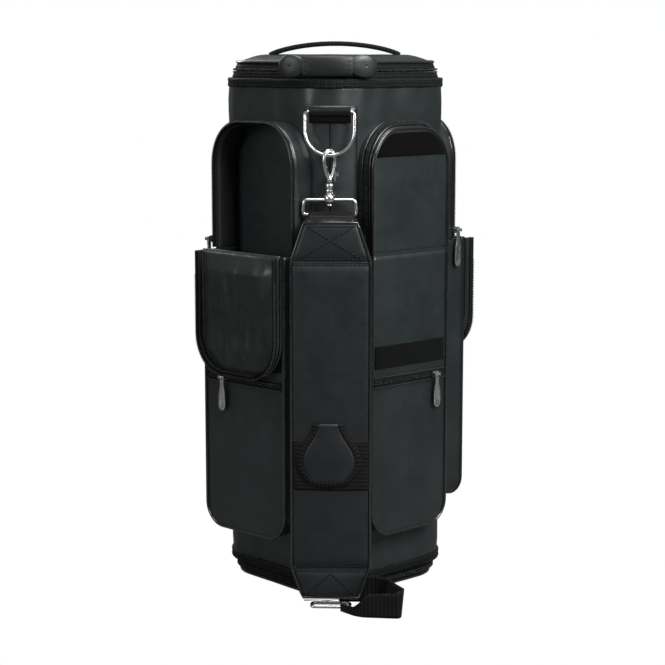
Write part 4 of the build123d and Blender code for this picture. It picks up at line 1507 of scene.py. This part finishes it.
def mixForCamera(tree, seen, unseen, output):
    # the camera sees a clean white, while the light that falls on the bag stays soft and dim
    ray = tree.nodes.new("ShaderNodeLightPath")
    either = tree.nodes.new("ShaderNodeMixShader")
    tree.links.new(ray.outputs["Is Camera Ray"], either.inputs["Fac"])
    tree.links.new(unseen, either.inputs[1])
    tree.links.new(seen, either.inputs[2])
    tree.links.new(either.outputs["Shader"], tree.nodes[output].inputs["Surface"])


def makeStage():
    floorShape = newShape()
    reach, floorAt = 9000, -0.5
    addGrid(floorShape, [[Vector((x, y, floorAt)) for x in (-reach, reach)] for y in (-reach, reach)])
    mesh = bpy.data.meshes.new("floor")
    mesh.from_pydata([tuple(v * mm) for v in floorShape["verts"]], [], floorShape["faces"])
    floor = bpy.data.objects.new("floor", mesh)
    bpy.context.scene.collection.objects.link(floor)
    paper, tree, shader, coords = newMaterial("paper")
    tone = noiseNode(tree, coords.outputs["Object"], 3, 2)
    tree.links.new(rampNode(tree, tone, [(0.2, (0.10, 0.10, 0.10)), (0.8, (0.13, 0.13, 0.13))]),
                   shader.inputs["Base Color"])
    shader.inputs["Roughness"].default_value = 0.9
    glow = tree.nodes.new("ShaderNodeEmission")
    mixForCamera(tree, glow.outputs["Emission"], shader.outputs["BSDF"], "Material Output")
    mesh.materials.append(paper)
    for name, (place, size, power) in lamps.items():
        lamp = bpy.data.lights.new(name, "AREA")
        lamp.size, lamp.energy = size, power
        light = bpy.data.objects.new(name, lamp)
        light.location = place
        light.rotation_euler = (lampAim - Vector(place)).to_track_quat("-Z", "Y").to_euler()
        bpy.context.scene.collection.objects.link(light)
    world = bpy.data.worlds.new("studio")
    world.use_nodes = True
    air = world.node_tree
    soft = air.nodes["Background"]
    soft.inputs["Color"].default_value = (1, 1, 1, 1)
    soft.inputs["Strength"].default_value = airStrength
    backdrop = air.nodes.new("ShaderNodeBackground")
    backdrop.inputs["Color"].default_value = (1, 1, 1, 1)
    mixForCamera(air, backdrop.outputs["Background"], soft.outputs["Background"], "World Output")
    bpy.context.scene.world = world
    bpy.context.scene.view_settings.view_transform = "Standard"


eye = {"distance": 2.032, "height": 0.608, "turn": 2.5, "down": 9.07, "lens": 95.8, "sensor": 36,
       "shift": -0.0038}


def makeCamera():
    camera = bpy.data.cameras.new("camera")
    camera.lens = eye["lens"]
    camera.sensor_width = eye["sensor"]
    camera.shift_x = eye["shift"]
    view = bpy.data.objects.new("camera", camera)
    turn = math.radians(eye["turn"])
    view.location = (math.sin(turn) * eye["distance"], -math.cos(turn) * eye["distance"], eye["height"])
    view.rotation_euler = (math.radians(90 - eye["down"]), 0, turn)
    bpy.context.scene.collection.objects.link(view)
    bpy.context.scene.camera = view


makeStage()
makeCamera()
print("scene ready")
